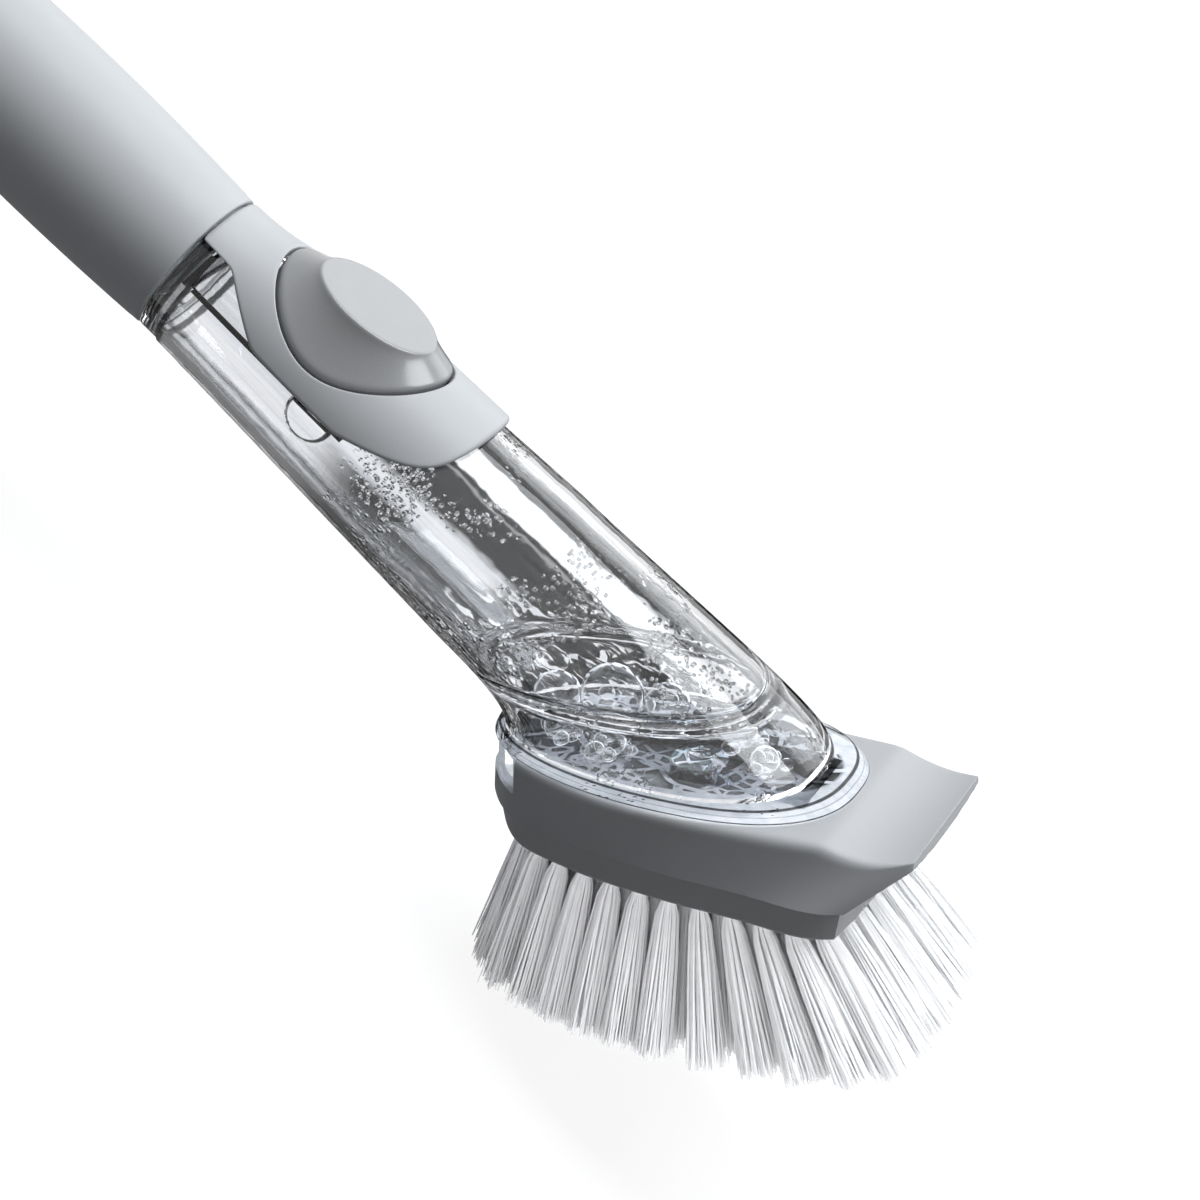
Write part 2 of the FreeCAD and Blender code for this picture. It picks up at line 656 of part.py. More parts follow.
def staple_at(root, direction):
    """The flat metal anchor that pins a folded tuft in its hole."""
    half_width, half_thickness = staple_width / 2, staple_thickness / 2
    staple = box(-half_width, half_width, -half_thickness, half_thickness, 0, staple_height)
    staple.Placement = FreeCAD.Placement(root - direction * (hole_depth - staple_sink),
                                         FreeCAD.Rotation(Z, direction))
    return staple


def tuft_at(root, direction):
    """A bundle of filaments: a straight root in its hole, fanning out to the tips."""
    stem = Part.makeCylinder(tuft_root_radius, hole_depth, root - direction * hole_depth, direction)
    fan = Part.makeCone(tuft_root_radius, tuft_tip_radius, tuft_length, root, direction)
    return stem.fuse(fan).cut(staple_at(root, direction))


def tufts(rings):
    """The tufts of some rings, as separate solids in one group."""
    return place_on_head(Part.makeCompound([tuft_at(*place) for ring in rings for place in ring]))


def tuft_staples():
    """All the staples, as separate solids in one group."""
    return place_on_head(Part.makeCompound([staple_at(*place) for ring in tuft_places() for place in ring]))


nodes = {
    "handle_shell": handle_shell(),
    "neck_seal": neck_seal(),
    "reservoir_body": reservoir_body(),
    "reservoir_base": reservoir_base(),
    "outlet_valve": outlet_valve(),
    "valve_retainer": valve_retainer(),
    "button_bezel": button_bezel(),
    "push_button": push_button(),
    "pump_bulb": pump_bulb(),
    "bulb_clamp": bulb_clamp(),
    "head_frame": head_frame(),
    "port_gasket": port_gasket(),
    "tuft_plate": tuft_plate(),
    "outer_tufts": tufts(tuft_places()[:1]),
    "inner_tufts": tufts(tuft_places()[1:]),
    "tuft_staples": tuft_staples(),
}

os.makedirs("parts", exist_ok=True)
for name, shape in nodes.items():
    shape.exportStep("parts/" + name + ".step")
    print(name, "solids", len(shape.Solids), "valid", shape.isValid(), "volume", round(shape.Volume, 1))
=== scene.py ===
import math
import bpy
import bmesh
import numpy as np
from mathutils import Matrix, Vector


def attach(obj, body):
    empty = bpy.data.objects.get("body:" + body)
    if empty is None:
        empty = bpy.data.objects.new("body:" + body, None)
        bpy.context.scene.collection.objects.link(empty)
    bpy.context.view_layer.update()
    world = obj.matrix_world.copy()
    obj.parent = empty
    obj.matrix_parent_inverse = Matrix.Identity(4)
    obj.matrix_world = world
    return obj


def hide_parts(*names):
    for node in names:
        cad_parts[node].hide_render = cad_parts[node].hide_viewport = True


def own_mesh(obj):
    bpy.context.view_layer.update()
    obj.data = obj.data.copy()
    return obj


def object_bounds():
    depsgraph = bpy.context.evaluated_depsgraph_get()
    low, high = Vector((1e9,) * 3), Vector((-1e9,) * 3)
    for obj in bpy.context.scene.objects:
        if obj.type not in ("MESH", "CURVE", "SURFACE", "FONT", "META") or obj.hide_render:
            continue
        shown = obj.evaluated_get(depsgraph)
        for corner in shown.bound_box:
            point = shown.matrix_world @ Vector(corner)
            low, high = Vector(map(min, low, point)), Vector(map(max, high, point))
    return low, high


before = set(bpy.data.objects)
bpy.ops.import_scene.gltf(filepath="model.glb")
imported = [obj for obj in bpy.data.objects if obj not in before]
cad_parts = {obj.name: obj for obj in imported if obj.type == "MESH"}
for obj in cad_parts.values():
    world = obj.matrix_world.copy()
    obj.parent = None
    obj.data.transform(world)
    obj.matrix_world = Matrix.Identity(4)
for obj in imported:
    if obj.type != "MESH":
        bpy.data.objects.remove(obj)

cad_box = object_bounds()

# Reservoir body
# The clear tapered tube that holds the soap: threaded neck, collar, flat seat for the pump, slanted foot.
# It is one polished moulding in clear plastic, welded to its base along the foot's rim.
MM = 0.001
rim = 84.0
neck_mouth, collar_start, collar_end = 68.8, 84.3, 89.0
neck_radius, bore_radius, collar_radius = 10.9, 9.0, 15.2
collar_level, seat_level, ceiling_level = 10.6, 5.3, 3.4
seat_end, tube_end, wall = 126.0, 165.0, 1.9
tube_start_radius, tube_growth = 15.3, 4.7 / 117.0
button_x, pocket_half_length, pocket_half_width = 115.4, 18.8, 15.4
head_place, tilt = 228.0, math.radians(37.1)
head_forward = np.array([math.cos(tilt), 0.0, math.sin(tilt)])
head_axis = np.array([-math.sin(tilt), 0.0, math.cos(tilt)])
foot_level, foot_drop = 9.75, 15.0
foot_egg = dict(middle=-14.0, front=26.4, rear=36.0, half_width=21.6, power=2.4)
lug_x, lug_level, lug_radius, lug_proud, lug_edge = 121.0, 4.2, 4.7, 1.0, 0.5
lug_side, lug_side_ease = 14.4, 1.4
flat_share = np.linspace(-1, 1, 73)
round_share = np.linspace(0, 1, 110)[1:]


def tube_radius(x):
    """Outer radius of the tube: it grows evenly along X."""
    return tube_start_radius + tube_growth * (x - rim)


def tube_angles(edge):
    """Angles round the tube from +Z: even across the top out to the edge angle, then even round the rest."""
    edge = np.reshape(edge, (-1, 1))
    return np.concatenate([edge * flat_share, edge + 2 * (np.pi - edge) * round_share], axis=1)


def tube_rings(x, radius, edge, level=np.inf):
    """Rings about X: y = r sin a, and z is the lower of r cos a and a level."""
    x, radius, level, angle = np.broadcast_arrays(x, radius, level, tube_angles(edge))
    return np.stack([x, radius * np.sin(angle), np.minimum(radius * np.cos(angle), level)], -1)


def head_point(s, y, n):
    """Points of the head's frame (s forward, y across, n up from the channel's floor) in the wand's frame."""
    s, y, n = np.broadcast_arrays(s, y, n)
    return np.stack([head_place + s * math.cos(tilt) - n * math.sin(tilt), y,
                     s * math.sin(tilt) + n * math.cos(tilt)], -1)


def above_rail(points):
    """How high points lie in the head's frame, n."""
    return (points - (head_place, 0, 0)) @ head_axis


def egg_plan(angle, middle, front, rear, half_width, power):
    """An egg outline: half an ellipse behind its middle, a blunter half of the given power in front."""
    c, w, blunt = np.cos(angle), np.sin(angle), 2 / power
    ahead = c >= 0
    s = middle + np.where(ahead, front * np.abs(c) ** blunt, rear * c)
    return s, half_width * np.where(ahead, np.sign(w) * np.abs(w) ** blunt, w)


def foot_rings(share, edge, inset):
    """Rings of the foot: each point goes from the tube's end p to the rim's point q on a cubic that leaves
    along X and arrives square to the rim: p h00 + X |q - p| h10 + q h01 + down h11."""
    t = np.reshape(share, (-1, 1, 1))
    angle = tube_angles(edge)
    radius = tube_radius(tube_end) - inset
    p = np.stack([np.full_like(angle, tube_end), radius * np.sin(angle), radius * np.cos(angle)], -1)
    plan = dict(foot_egg, front=foot_egg["front"] - inset, rear=foot_egg["rear"] - inset,
                half_width=foot_egg["half_width"] - inset)
    q = head_point(*egg_plan(angle, **plan), foot_level)
    down = -foot_drop * head_axis
    reach = np.linalg.norm(q - p, axis=-1, keepdims=True) * np.array([1.0, 0, 0])
    return (p * (2 * t ** 3 - 3 * t ** 2 + 1) + reach * (t ** 3 - 2 * t ** 2 + t)
            + q * (3 * t ** 2 - 2 * t ** 3) + down * (t ** 3 - t ** 2))


def rounded(corners, radius, steps=6):
    """An open path of straight runs with rounded corners: a corner P becomes the quadratic arc from one
    radius before it to one radius after it, (1-t)^2 S + 2t(1-t) P + t^2 E."""
    corners = np.asarray(corners, float)
    a, p, b = corners[:-2], corners[1:-1], corners[2:]
    span_a = np.linalg.norm(a - p, axis=1, keepdims=True)
    span_b = np.linalg.norm(b - p, axis=1, keepdims=True)
    reach = np.minimum(np.reshape(radius, (-1, 1)) * np.ones_like(span_a), 0.45 * np.minimum(span_a, span_b))
    s, e = p + (a - p) / span_a * reach, p + (b - p) / span_b * reach
    t = np.linspace(0, 1, steps)[:, None, None]
    arcs = (1 - t) ** 2 * s + 2 * t * (1 - t) * p + t ** 2 * e
    return np.concatenate([corners[:1], arcs.transpose(1, 0, 2).reshape(-1, 2), corners[-1:]])


def oval_front(plain_end, half_length, half_width, edge):
    """Where the seat ends along X, column by column: at a plain end, or further where the button's oval is."""
    y = tube_radius(plain_end) * np.sin(tube_angles(edge)[0])
    oval = button_x + half_length * np.sqrt(np.clip(1 - (y / half_width) ** 2, 0, None))
    top = np.arange(len(y)) < len(flat_share)
    return np.where(top & (np.abs(y) < half_width), np.maximum(plain_end, oval), plain_end)


def soft_step(value):
    """Smooth step from 0 to 1 as the value goes from 0 to 1."""
    value = np.clip(value, 0, 1)
    return value * value * (3 - 2 * value)


def with_lugs(sheet):
    """Pushes the tube's sides out to a flat disc at each clip lug."""
    x, y, z = np.moveaxis(sheet, -1, 0)
    reach = tube_radius(lug_x) + lug_proud
    inside = soft_step((lug_radius + lug_edge / 2 - np.hypot(x - lug_x, z - lug_level)) / lug_edge)
    side = soft_step((np.abs(y) - lug_side) / lug_side_ease)
    y = np.sign(y) * (np.abs(y) + (reach - np.abs(y)) * inside * side)
    return np.stack([x, y, z], -1)


def helix_rib(root, crest, start, turns=1.5, pitch=5.0, fade=0.06, bite=0.4):
    """A thread: a trapezoid carried along a helix about X, its crest fading in and out at the ends."""
    share = np.linspace(0, 1, 150)[:, None]
    turn = 2 * np.pi * turns * share
    rise = 0.15 + 0.85 * soft_step(np.minimum(share, 1 - share) / fade)
    foot = root + math.copysign(bite, root - crest)
    height = foot + (crest - foot) * np.array([0, 1, 1, 0, 0]) * rise
    along = start + pitch * turn / (2 * np.pi) + np.array([-1.0, -0.6, 0.6, 1.0, -1.0])
    rib = np.stack([along, height * np.sin(turn), -height * np.cos(turn)], -1)
    ends = [np.repeat(rib[k:k + 1, :4].mean(axis=1, keepdims=True), 5, axis=1) for k in (0, -1)]
    return np.concatenate([ends[0], rib, ends[1]])


def placed(name, data):
    """A new object in the scene."""
    thing = bpy.data.objects.new(name, data)
    bpy.context.scene.collection.objects.link(thing)
    return thing


def grid_quads(number):
    """The quads between the numbered points of sheets (rows x columns)."""
    return np.stack([number[..., :-1, :-1], number[..., :-1, 1:], number[..., 1:, 1:], number[..., 1:, :-1]],
                    -1).reshape(-1, 4)


def mark_points(mesh, name, values):
    """One number for each point of a mesh, as an attribute."""
    mesh.attributes.new(name, "FLOAT", "POINT").data.foreach_set("value", np.ravel(values).astype(np.float32))


def welded(name, points, quads, crease, near, sliver=None, marks=None):
    """One mesh of quads over points in millimetres. Points that coincide are merged, which closes seams and
    poles, faces are turned outwards, and edges over the crease are sharp. Marks, one number for each point,
    become the mesh's attribute outer_skin."""
    mesh = bpy.data.meshes.new(name)
    mesh.from_pydata(points * MM, [], quads)
    if marks is not None:
        mark_points(mesh, "outer_skin", marks)
    work = bmesh.new()
    work.from_mesh(mesh)
    bmesh.ops.remove_doubles(work, verts=work.verts, dist=near)
    if sliver:
        bmesh.ops.dissolve_degenerate(work, dist=sliver, edges=work.edges)
    bmesh.ops.recalc_face_normals(work, faces=work.faces)
    work.to_mesh(mesh)
    work.free()
    return creased(placed(name, mesh), crease)


def lay_skin(name, sheets, crease=38, marks=None):
    """Joins sheets of points (rows x columns) into one mesh."""
    points, quads, first = [], [], 0
    for sheet in sheets:
        number = first + np.arange(sheet[..., 0].size).reshape(sheet.shape[:2])
        points.append(sheet.reshape(-1, 3))
        quads.append(grid_quads(number))
        first += number.size
    return welded(name, np.concatenate(points), np.concatenate(quads), crease, 2e-6, 1e-6, marks)


def creased(piece, crease=38):
    """Smooth shading with sharp edges where faces meet at more than the crease angle."""
    mesh = piece.data
    mesh.polygons.foreach_set("use_smooth", np.ones(len(mesh.polygons), bool))
    mesh.set_sharp_from_angle(angle=math.radians(crease))
    return piece


def fitted(piece, body, slot, finish, *nodes):
    """Gives a piece its finish and the body that it rides on, and hides the CAD nodes that it stands for. The slot is
    not used.
    """
    piece.data.materials.clear()
    piece.data.materials.append(finish)
    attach(piece, body)
    if nodes:
        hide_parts(*nodes)
    return piece


def new_finish(name, **settings):
    """A node material whose Principled shader has these plain socket values."""
    finish = bpy.data.materials.new(name)
    finish.use_nodes = True
    shader = finish.node_tree.nodes["Principled BSDF"]
    for socket, value in settings.items():
        shader.inputs[socket.replace("_", " ")].default_value = value
    return finish, shader


def add_node(tree, kind, inputs=(), **settings):
    """Adds a node to a tree: its settings, and its inputs by name or number as values or as sockets to link."""
    node = tree.nodes.new(kind)
    for name, value in settings.items():
        setattr(node, name, value)
    for key, value in dict(inputs).items():
        if isinstance(value, bpy.types.NodeSocket):
            tree.links.new(value, node.inputs[key])
        else:
            node.inputs[key].default_value = value
    return node


def ramp(tree, factor, *stops):
    """A colour ramp with stops of (place, grey or colour)."""
    node = add_node(tree, "ShaderNodeValToRGB", {"Fac": factor})
    spots = node.color_ramp.elements
    while len(spots) < len(stops):
        spots.new(0.5)
    for spot, (place, colour) in zip(spots, stops):
        spot.position = place
        spot.color = (*((colour,) * 3 if isinstance(colour, float) else colour), 1)
    return node.outputs["Color"]


def mixed(tree, factor, first, second, blend="MIX"):
    """A colour between two, by a factor."""
    return add_node(tree, "ShaderNodeMix", {0: factor, 6: first, 7: second}, data_type="RGBA",
                    blend_type=blend).outputs[2]


def eased_range(tree, value, low, high, to_low=0.0, to_high=1.0, way="SMOOTHSTEP"):
    """A value taken from one range into another and held at the ends: eased, or evenly where the way is LINEAR."""
    ends = {"Value": value, "From Min": low, "From Max": high, "To Min": to_low, "To Max": to_high}
    return add_node(tree, "ShaderNodeMapRange", ends, interpolation_type=way).outputs[0]


def even_range(tree, value, low, high, to_low=0.0, to_high=1.0):
    """A value taken evenly from one range into another, held at the ends."""
    return eased_range(tree, value, low, high, to_low, to_high, "LINEAR")


def sums(tree, operation, *values):
    """One Math node."""
    return add_node(tree, "ShaderNodeMath", dict(enumerate(values)), operation=operation).outputs[0]


def squares(tree, first, second):
    """The sum of two squares."""
    return sums(tree, "ADD", sums(tree, "MULTIPLY", first, first), sums(tree, "MULTIPLY", second, second))


def object_place(tree):
    """Where a point lies in its piece's own frame."""
    return add_node(tree, "ShaderNodeTexCoord").outputs["Object"]


def noise(tree, place, scale, detail=2.0, **more):
    """A noise's value, with its further inputs by name."""
    return add_node(tree, "ShaderNodeTexNoise", {"Vector": place, "Scale": scale, "Detail": detail,
                                                 **more}).outputs["Fac"]


def along_head(tree, place, axis):
    """How far a place lies along an axis of the head's frame: (place - origin) . axis."""
    from_head = add_node(tree, "ShaderNodeVectorMath", {0: place, 1: (head_place * MM, 0, 0)},
                         operation="SUBTRACT").outputs[0]
    return add_node(tree, "ShaderNodeVectorMath", {0: from_head, 1: tuple(axis)},
                    operation="DOT_PRODUCT").outputs["Value"]


def relief(tree, height, strength, depth=0.0004):
    """A bumpy normal from a height."""
    return add_node(tree, "ShaderNodeBump", {"Strength": strength, "Distance": depth, "Height": height}).outputs[0]


def wire(tree, shader, **sockets):
    """Links sockets to the shader's inputs of these names."""
    for name, socket in sockets.items():
        tree.links.new(socket, shader.inputs[name.replace("_", " ")])


def surface(tree, shading):
    """Makes a shading what the material shows."""
    tree.links.new(shading, tree.nodes["Material Output"].inputs["Surface"])


collar_lines_end, ledge_low, ledge_high, ledge_waver = 90.5, 17.5, 24.5, 1.6
drops_start, drops_full = 126.0, 134.0


def painted_edge_shade(tree, place):
    """Thin dark lines of painted shade along edges: rings at the collar, a ring round each lug,
    and wavering lines along the step inside the foot."""
    axes = add_node(tree, "ShaderNodeSeparateXYZ", {0: place}).outputs
    collar = even_range(tree, axes["X"], collar_start * MM, collar_lines_end * MM)
    collar = ramp(tree, collar, (0.0, 0.2), (0.14, 0.01), (0.18, 0.95), (0.3, 0.95), (0.34, 0.01), (0.46, 0.02),
                  (0.5, 0.7), (0.62, 0.8), (0.66, 0.01), (0.82, 0.02), (0.88, 1.0), (1.0, 1.0))
    from_lug = sums(tree, "SQRT", squares(tree, sums(tree, "SUBTRACT", axes["X"], lug_x * MM),
                                          sums(tree, "SUBTRACT", axes["Z"], lug_level * MM)))
    lug_cm = sums(tree, "MULTIPLY", from_lug, 100.0)
    # A dark ring of painted shade round each lug's edge.
    lug_shade_ring = ramp(tree, lug_cm, (0.0, 1.0), (0.4, 1.0), (0.42, 0.005), (0.49, 0.005), (0.51, 0.95), (0.57, 0.95))
    outside = mixed(tree, eased_range(tree, lug_cm, 0.58, 0.55), collar, lug_shade_ring)
    drawn = add_node(tree, "ShaderNodeMapping", {"Vector": place, "Scale": (22.0, 90.0, 90.0)}).outputs[0]
    level = sums(tree, "MULTIPLY_ADD", noise(tree, drawn, 1.0, 4.0), ledge_waver * MM,
                 along_head(tree, place, head_axis))
    # Dark lines of painted shade along the step inside the foot.
    inside = ramp(tree, even_range(tree, level, ledge_low * MM, ledge_high * MM), (0.0, 0.97), (0.2, 0.97),
                  (0.24, 0.12), (0.3, 0.12), (0.34, 1.0), (0.5, 1.0), (0.54, 0.06), (0.6, 0.06), (0.64, 1.0),
                  (0.78, 1.0), (0.81, 0.2), (0.84, 0.2), (0.88, 0.97), (1.0, 0.97))
    skin = add_node(tree, "ShaderNodeAttribute", attribute_name="outer_skin").outputs["Fac"]
    return mixed(tree, skin, inside, outside)


def clear_finish(name, painted_reflection_low, ior, lines):
    """Clear plastic: the dark lines that it is given, faint grey streaks along the tube that are painted dark
    reflections, small droplets in patches and a wet shine. Light that casts shadows passes it."""
    finish, shader = new_finish(name, Transmission_Weight=1.0, IOR=ior, Specular_Tint=(0.8, 0.8, 0.8, 1))
    tree = finish.node_tree
    place = object_place(tree)
    drawn = add_node(tree, "ShaderNodeMapping", {"Vector": place, "Scale": (9.0, 420.0, 420.0)}).outputs[0]
    # Faint grey streaks along the tube: painted dark reflections.
    painted_reflections = ramp(tree, noise(tree, drawn, 1.0, 3.0, Roughness=0.6), (0.36, painted_reflection_low),
                   (0.52, (0.96, 0.97, 0.99)), (0.6, (0.99, 0.99, 1.0)))
    tint = mixed(tree, 1.0, lines(tree, place), painted_reflections, "MULTIPLY")
    film, spread = noise(tree, place, 160.0), noise(tree, place, 60.0)
    drops = add_node(tree, "ShaderNodeTexVoronoi", {"Vector": place, "Scale": 700.0}).outputs["Distance"]
    ahead = add_node(tree, "ShaderNodeSeparateXYZ", {0: place}).outputs["X"]
    patches = sums(tree, "MULTIPLY", eased_range(tree, spread, 0.55, 0.62),
                   eased_range(tree, ahead, drops_start * MM, drops_full * MM))
    beads = sums(tree, "MULTIPLY", eased_range(tree, drops, 0.36, 0.1), patches)
    height = sums(tree, "MULTIPLY_ADD", film, 0.2, beads)
    wire(tree, shader, Base_Color=tint, Normal=relief(tree, height, 0.6),
         Roughness=eased_range(tree, spread, 0.3, 0.7, 0.0, 0.03))
    shadow = add_node(tree, "ShaderNodeLightPath").outputs["Is Shadow Ray"]
    through = add_node(tree, "ShaderNodeBsdfTransparent", {"Color": (0.92, 0.93, 0.94, 1)}).outputs[0]
    surface(tree, add_node(tree, "ShaderNodeMixShader", {0: shadow, 1: shader.outputs[0], 2: through}).outputs[0])
    return finish


# The tube's thin dark lines at the collar, the lugs and the step are painted shade along edges.
clear_tube = clear_finish("clear_tube", (0.78, 0.8, 0.83), 1.5, painted_edge_shade)
neck_round, bore_round, thread_start, thread_height = 0.6, 0.4, 70.7, 1.4
step_level, step_height, step_ease, step_start, step_run = 20.5, 0.6, 0.5, 138.0, 20.0
bead_rise, bead_width = 1.6, 0.9
collar_edge = math.acos(collar_level / collar_radius)
mouth_middle = (neck_mouth, (bore_radius + neck_radius) / 2)
neck_path = rounded([mouth_middle, (neck_mouth, neck_radius), (collar_start, neck_radius),
                     (collar_start, collar_radius), (collar_end, collar_radius)], neck_round)[:, :, None]
neck_rings = tube_rings(neck_path[:, 0], neck_path[:, 1], collar_edge,
                        np.where(neck_path[:, 0] < collar_start, np.inf, collar_level))
seat_edge = math.acos(seat_level / tube_radius(seat_end))
seat_front = oval_front(seat_end, pocket_half_length, pocket_half_width, seat_edge)
run = np.unique(np.concatenate([np.linspace(0, 1, 40), np.linspace(0.68, 1, 40)]))[:, None]
seat_x = collar_end + (seat_front - collar_end) * run
seat_edges = np.arccos(seat_level / tube_radius(collar_end + (seat_end - collar_end) * run))
seat_rings = with_lugs(tube_rings(seat_x, tube_radius(seat_x), seat_edges, seat_level))
tube_run = np.linspace(0, 1, 44)[:, None]
tube_x = seat_front + (tube_end - seat_front) * tube_run
tube_skin = tube_rings(tube_x, tube_radius(tube_x), seat_edge)
foot_share = np.linspace(0, 1, 64)[1:]
ceiling_end = seat_end + wall
ceiling_start = collar_end - wall
ceiling_edge = math.acos(ceiling_level / (tube_radius(ceiling_end) - wall))
ceiling_front = oval_front(ceiling_end, pocket_half_length + wall, pocket_half_width + wall, ceiling_edge)
hollow_x = ceiling_front + (tube_end - ceiling_front) * tube_run[::-1]
hollow_inset = wall + step_height * soft_step((hollow_x - step_start) / step_run)
hollow_skin = tube_rings(hollow_x, tube_radius(hollow_x) - hollow_inset, ceiling_edge)
deep_share = np.unique(np.concatenate([foot_share, np.linspace(0.55, 1, 90)]))[::-1]
thin_foot, thick_foot = (foot_rings(deep_share, ceiling_edge, wall + more) for more in (0.0, step_height))
over_step = above_rail(thin_foot)[..., None] - step_level
bead = bead_rise * np.exp(-(over_step / bead_width) ** 2)
inner_foot = thin_foot + (thick_foot - thin_foot) * (soft_step(over_step / step_ease) + bead)
ceiling_run = np.linspace(1, 0, 40)[:, None]
ceiling_x = ceiling_start + (ceiling_front - ceiling_start) * ceiling_run
ceiling_edges = np.arccos(ceiling_level
                          / (tube_radius(ceiling_start + (ceiling_end - ceiling_start) * ceiling_run) - wall))
ceiling_rings = tube_rings(ceiling_x, tube_radius(ceiling_x) - wall, ceiling_edges, ceiling_level)
bore_path = rounded([(ceiling_start, bore_radius), (neck_mouth, bore_radius), mouth_middle], bore_round)[:, :, None]
bore_rings = tube_rings(bore_path[:, 0], bore_path[:, 1], collar_edge)
outer_rings = np.concatenate([neck_rings, seat_rings, tube_skin, foot_rings(foot_share, seat_edge, 0.0)])
inner_rings = np.concatenate([inner_foot, hollow_skin, ceiling_rings, bore_rings])
neck_rib = helix_rib(neck_radius, neck_radius + thread_height, thread_start)
outer_marks = np.concatenate([np.full(rings[..., 0].size, mark) for rings, mark
                              in ((outer_rings, 1.0), (inner_rings, 0.0), (neck_rib, 0.0))])
reservoir_body = lay_skin("reservoir_body_clear", [np.concatenate([outer_rings, inner_rings]), neck_rib],
                          marks=outer_marks)
fitted(reservoir_body, "reservoir", "clear", clear_tube, "reservoir_body")

# Reservoir base
# The clear plate welded under the foot: a sloping flange, the T-shaped rail that the head slides on and a heel.
# It is moulded in the tube's clear plastic, with the outlet through it and a wet film of soap on its floor.
outlet_s, outlet_radius, valve_radius, valve_seat = -12.0, 2.5, 5.4, 6.6
rail_low, rail_lip, rail_join, rail_rear, rail_front, rail_half, stem_half = 0.3, 4.0, 7.17, -36.0, 12.0, 12.7, 10.0
flange_low, flange_high = 7.2, 9.7
low_egg = dict(middle=-12.0, front=31.6, rear=40.0, half_width=23.4, power=2.5)
high_egg = dict(middle=-12.0, front=28.6, rear=38.9, half_width=22.3, power=2.5)
heel_front, heel_turn = -42.8, np.linspace(0.78, 1.22, 60) * np.pi
film_middle, film_half_length, film_half_width = -16.0, 32.0, 18.5
base_turn = np.linspace(0, 2 * np.pi, 181)


def at_level(plan, n):
    """Plan points raised to a level of the head's frame."""
    return np.stack([plan[:, 0], plan[:, 1], np.broadcast_to(n, len(plan))], -1)


def on_head(rows):
    """Rows of points in the head's frame, in the wand's frame."""
    return head_point(*np.moveaxis(np.asarray(rows), -1, 0))


def arc_rows(start, corner, end, steps=6):
    """Rows along the quadratic arc that rounds a corner between two rows."""
    return [(1 - t) ** 2 * start + 2 * t * (1 - t) * corner + t * t * end for t in np.linspace(0, 1, steps)]


def unit(vectors):
    """Vectors cut to length 1."""
    return vectors / np.linalg.norm(vectors, axis=-1, keepdims=True)


def round_outlet(plan, radius):
    """The circle round the outlet, each point in line with a point of a plan."""
    return (outlet_s, 0) + unit(plan - (outlet_s, 0)) * radius


low_loop, high_loop = (np.stack(egg_plan(base_turn, **egg), -1) for egg in (low_egg, high_egg))
slope = at_level(low_loop, flange_low) - at_level(high_loop, flange_high)
inside_high, inside_low = (loop + (round_outlet(loop, 1.0) - loop) * 0.03 for loop in (high_loop, low_loop))
flange_rows = [at_level(round_outlet(high_loop, outlet_radius), flange_high)]
flange_rows += arc_rows(at_level(inside_high, flange_high), at_level(high_loop, flange_high),
                        at_level(high_loop, flange_high) + 0.3 * slope)
flange_rows += arc_rows(at_level(high_loop, flange_high) + 0.75 * slope, at_level(low_loop, flange_low),
                        at_level(inside_low, flange_low))
flange_rows += [at_level(round_outlet(low_loop, outlet_radius), flange_low)]
flange_rows.append(flange_rows[0])


def rail_loop(half):
    """The rail's plan: square in front, round at the rear."""
    turn = np.linspace(np.pi / 2, 3 * np.pi / 2, 60)
    back = np.stack([rail_rear + half * np.cos(turn), half * np.sin(turn)], -1)
    return np.concatenate([[(rail_front, 0.0), (rail_front, half)], back, [(rail_front, -half), (rail_front, 0.0)]])


def walked_rail(half):
    """The rail's plan in columns: even steps round it, and the square corners kept."""
    loop = rail_loop(half)
    return np.concatenate([evenly(loop[k:k + 2], 12)[:-1] for k in range(len(loop) - 1)] + [loop[-1:]])


def walk(path):
    """How far along a path each of its points lies."""
    return np.concatenate([[0], np.cumsum(np.linalg.norm(np.diff(path, axis=0), axis=1))])


def evenly(path, count):
    """A path walked in even steps: its coordinates at equal shares of its length."""
    walked = walk(path)
    marks = np.linspace(0, walked[-1], count)
    return np.stack([np.interp(marks, walked, path[:, k]) for k in range(path.shape[1])], -1)


foot_rail, stem_rail = walked_rail(rail_half), walked_rail(stem_half)
valve_hole, outlet_hole = round_outlet(foot_rail, valve_radius), round_outlet(stem_rail, outlet_radius)
rail_rows = [at_level(plan, n) for plan, n in (
    (valve_hole, rail_low), (foot_rail, rail_low), (foot_rail, rail_lip), (stem_rail, rail_lip),
    (stem_rail, rail_join), (outlet_hole, rail_join), (outlet_hole, valve_seat),
    (valve_hole, valve_seat), (valve_hole, rail_low))]


def prism(outline, low, high):
    """A closed upright prism in the head's frame over a convex outline of (s, y)."""
    outline = np.concatenate([outline, outline[:1]])
    middle = np.repeat(outline[:-1].mean(axis=0, keepdims=True), len(outline), axis=0)
    return on_head([at_level(middle, low), at_level(outline, low), at_level(outline, high), at_level(middle, high)])


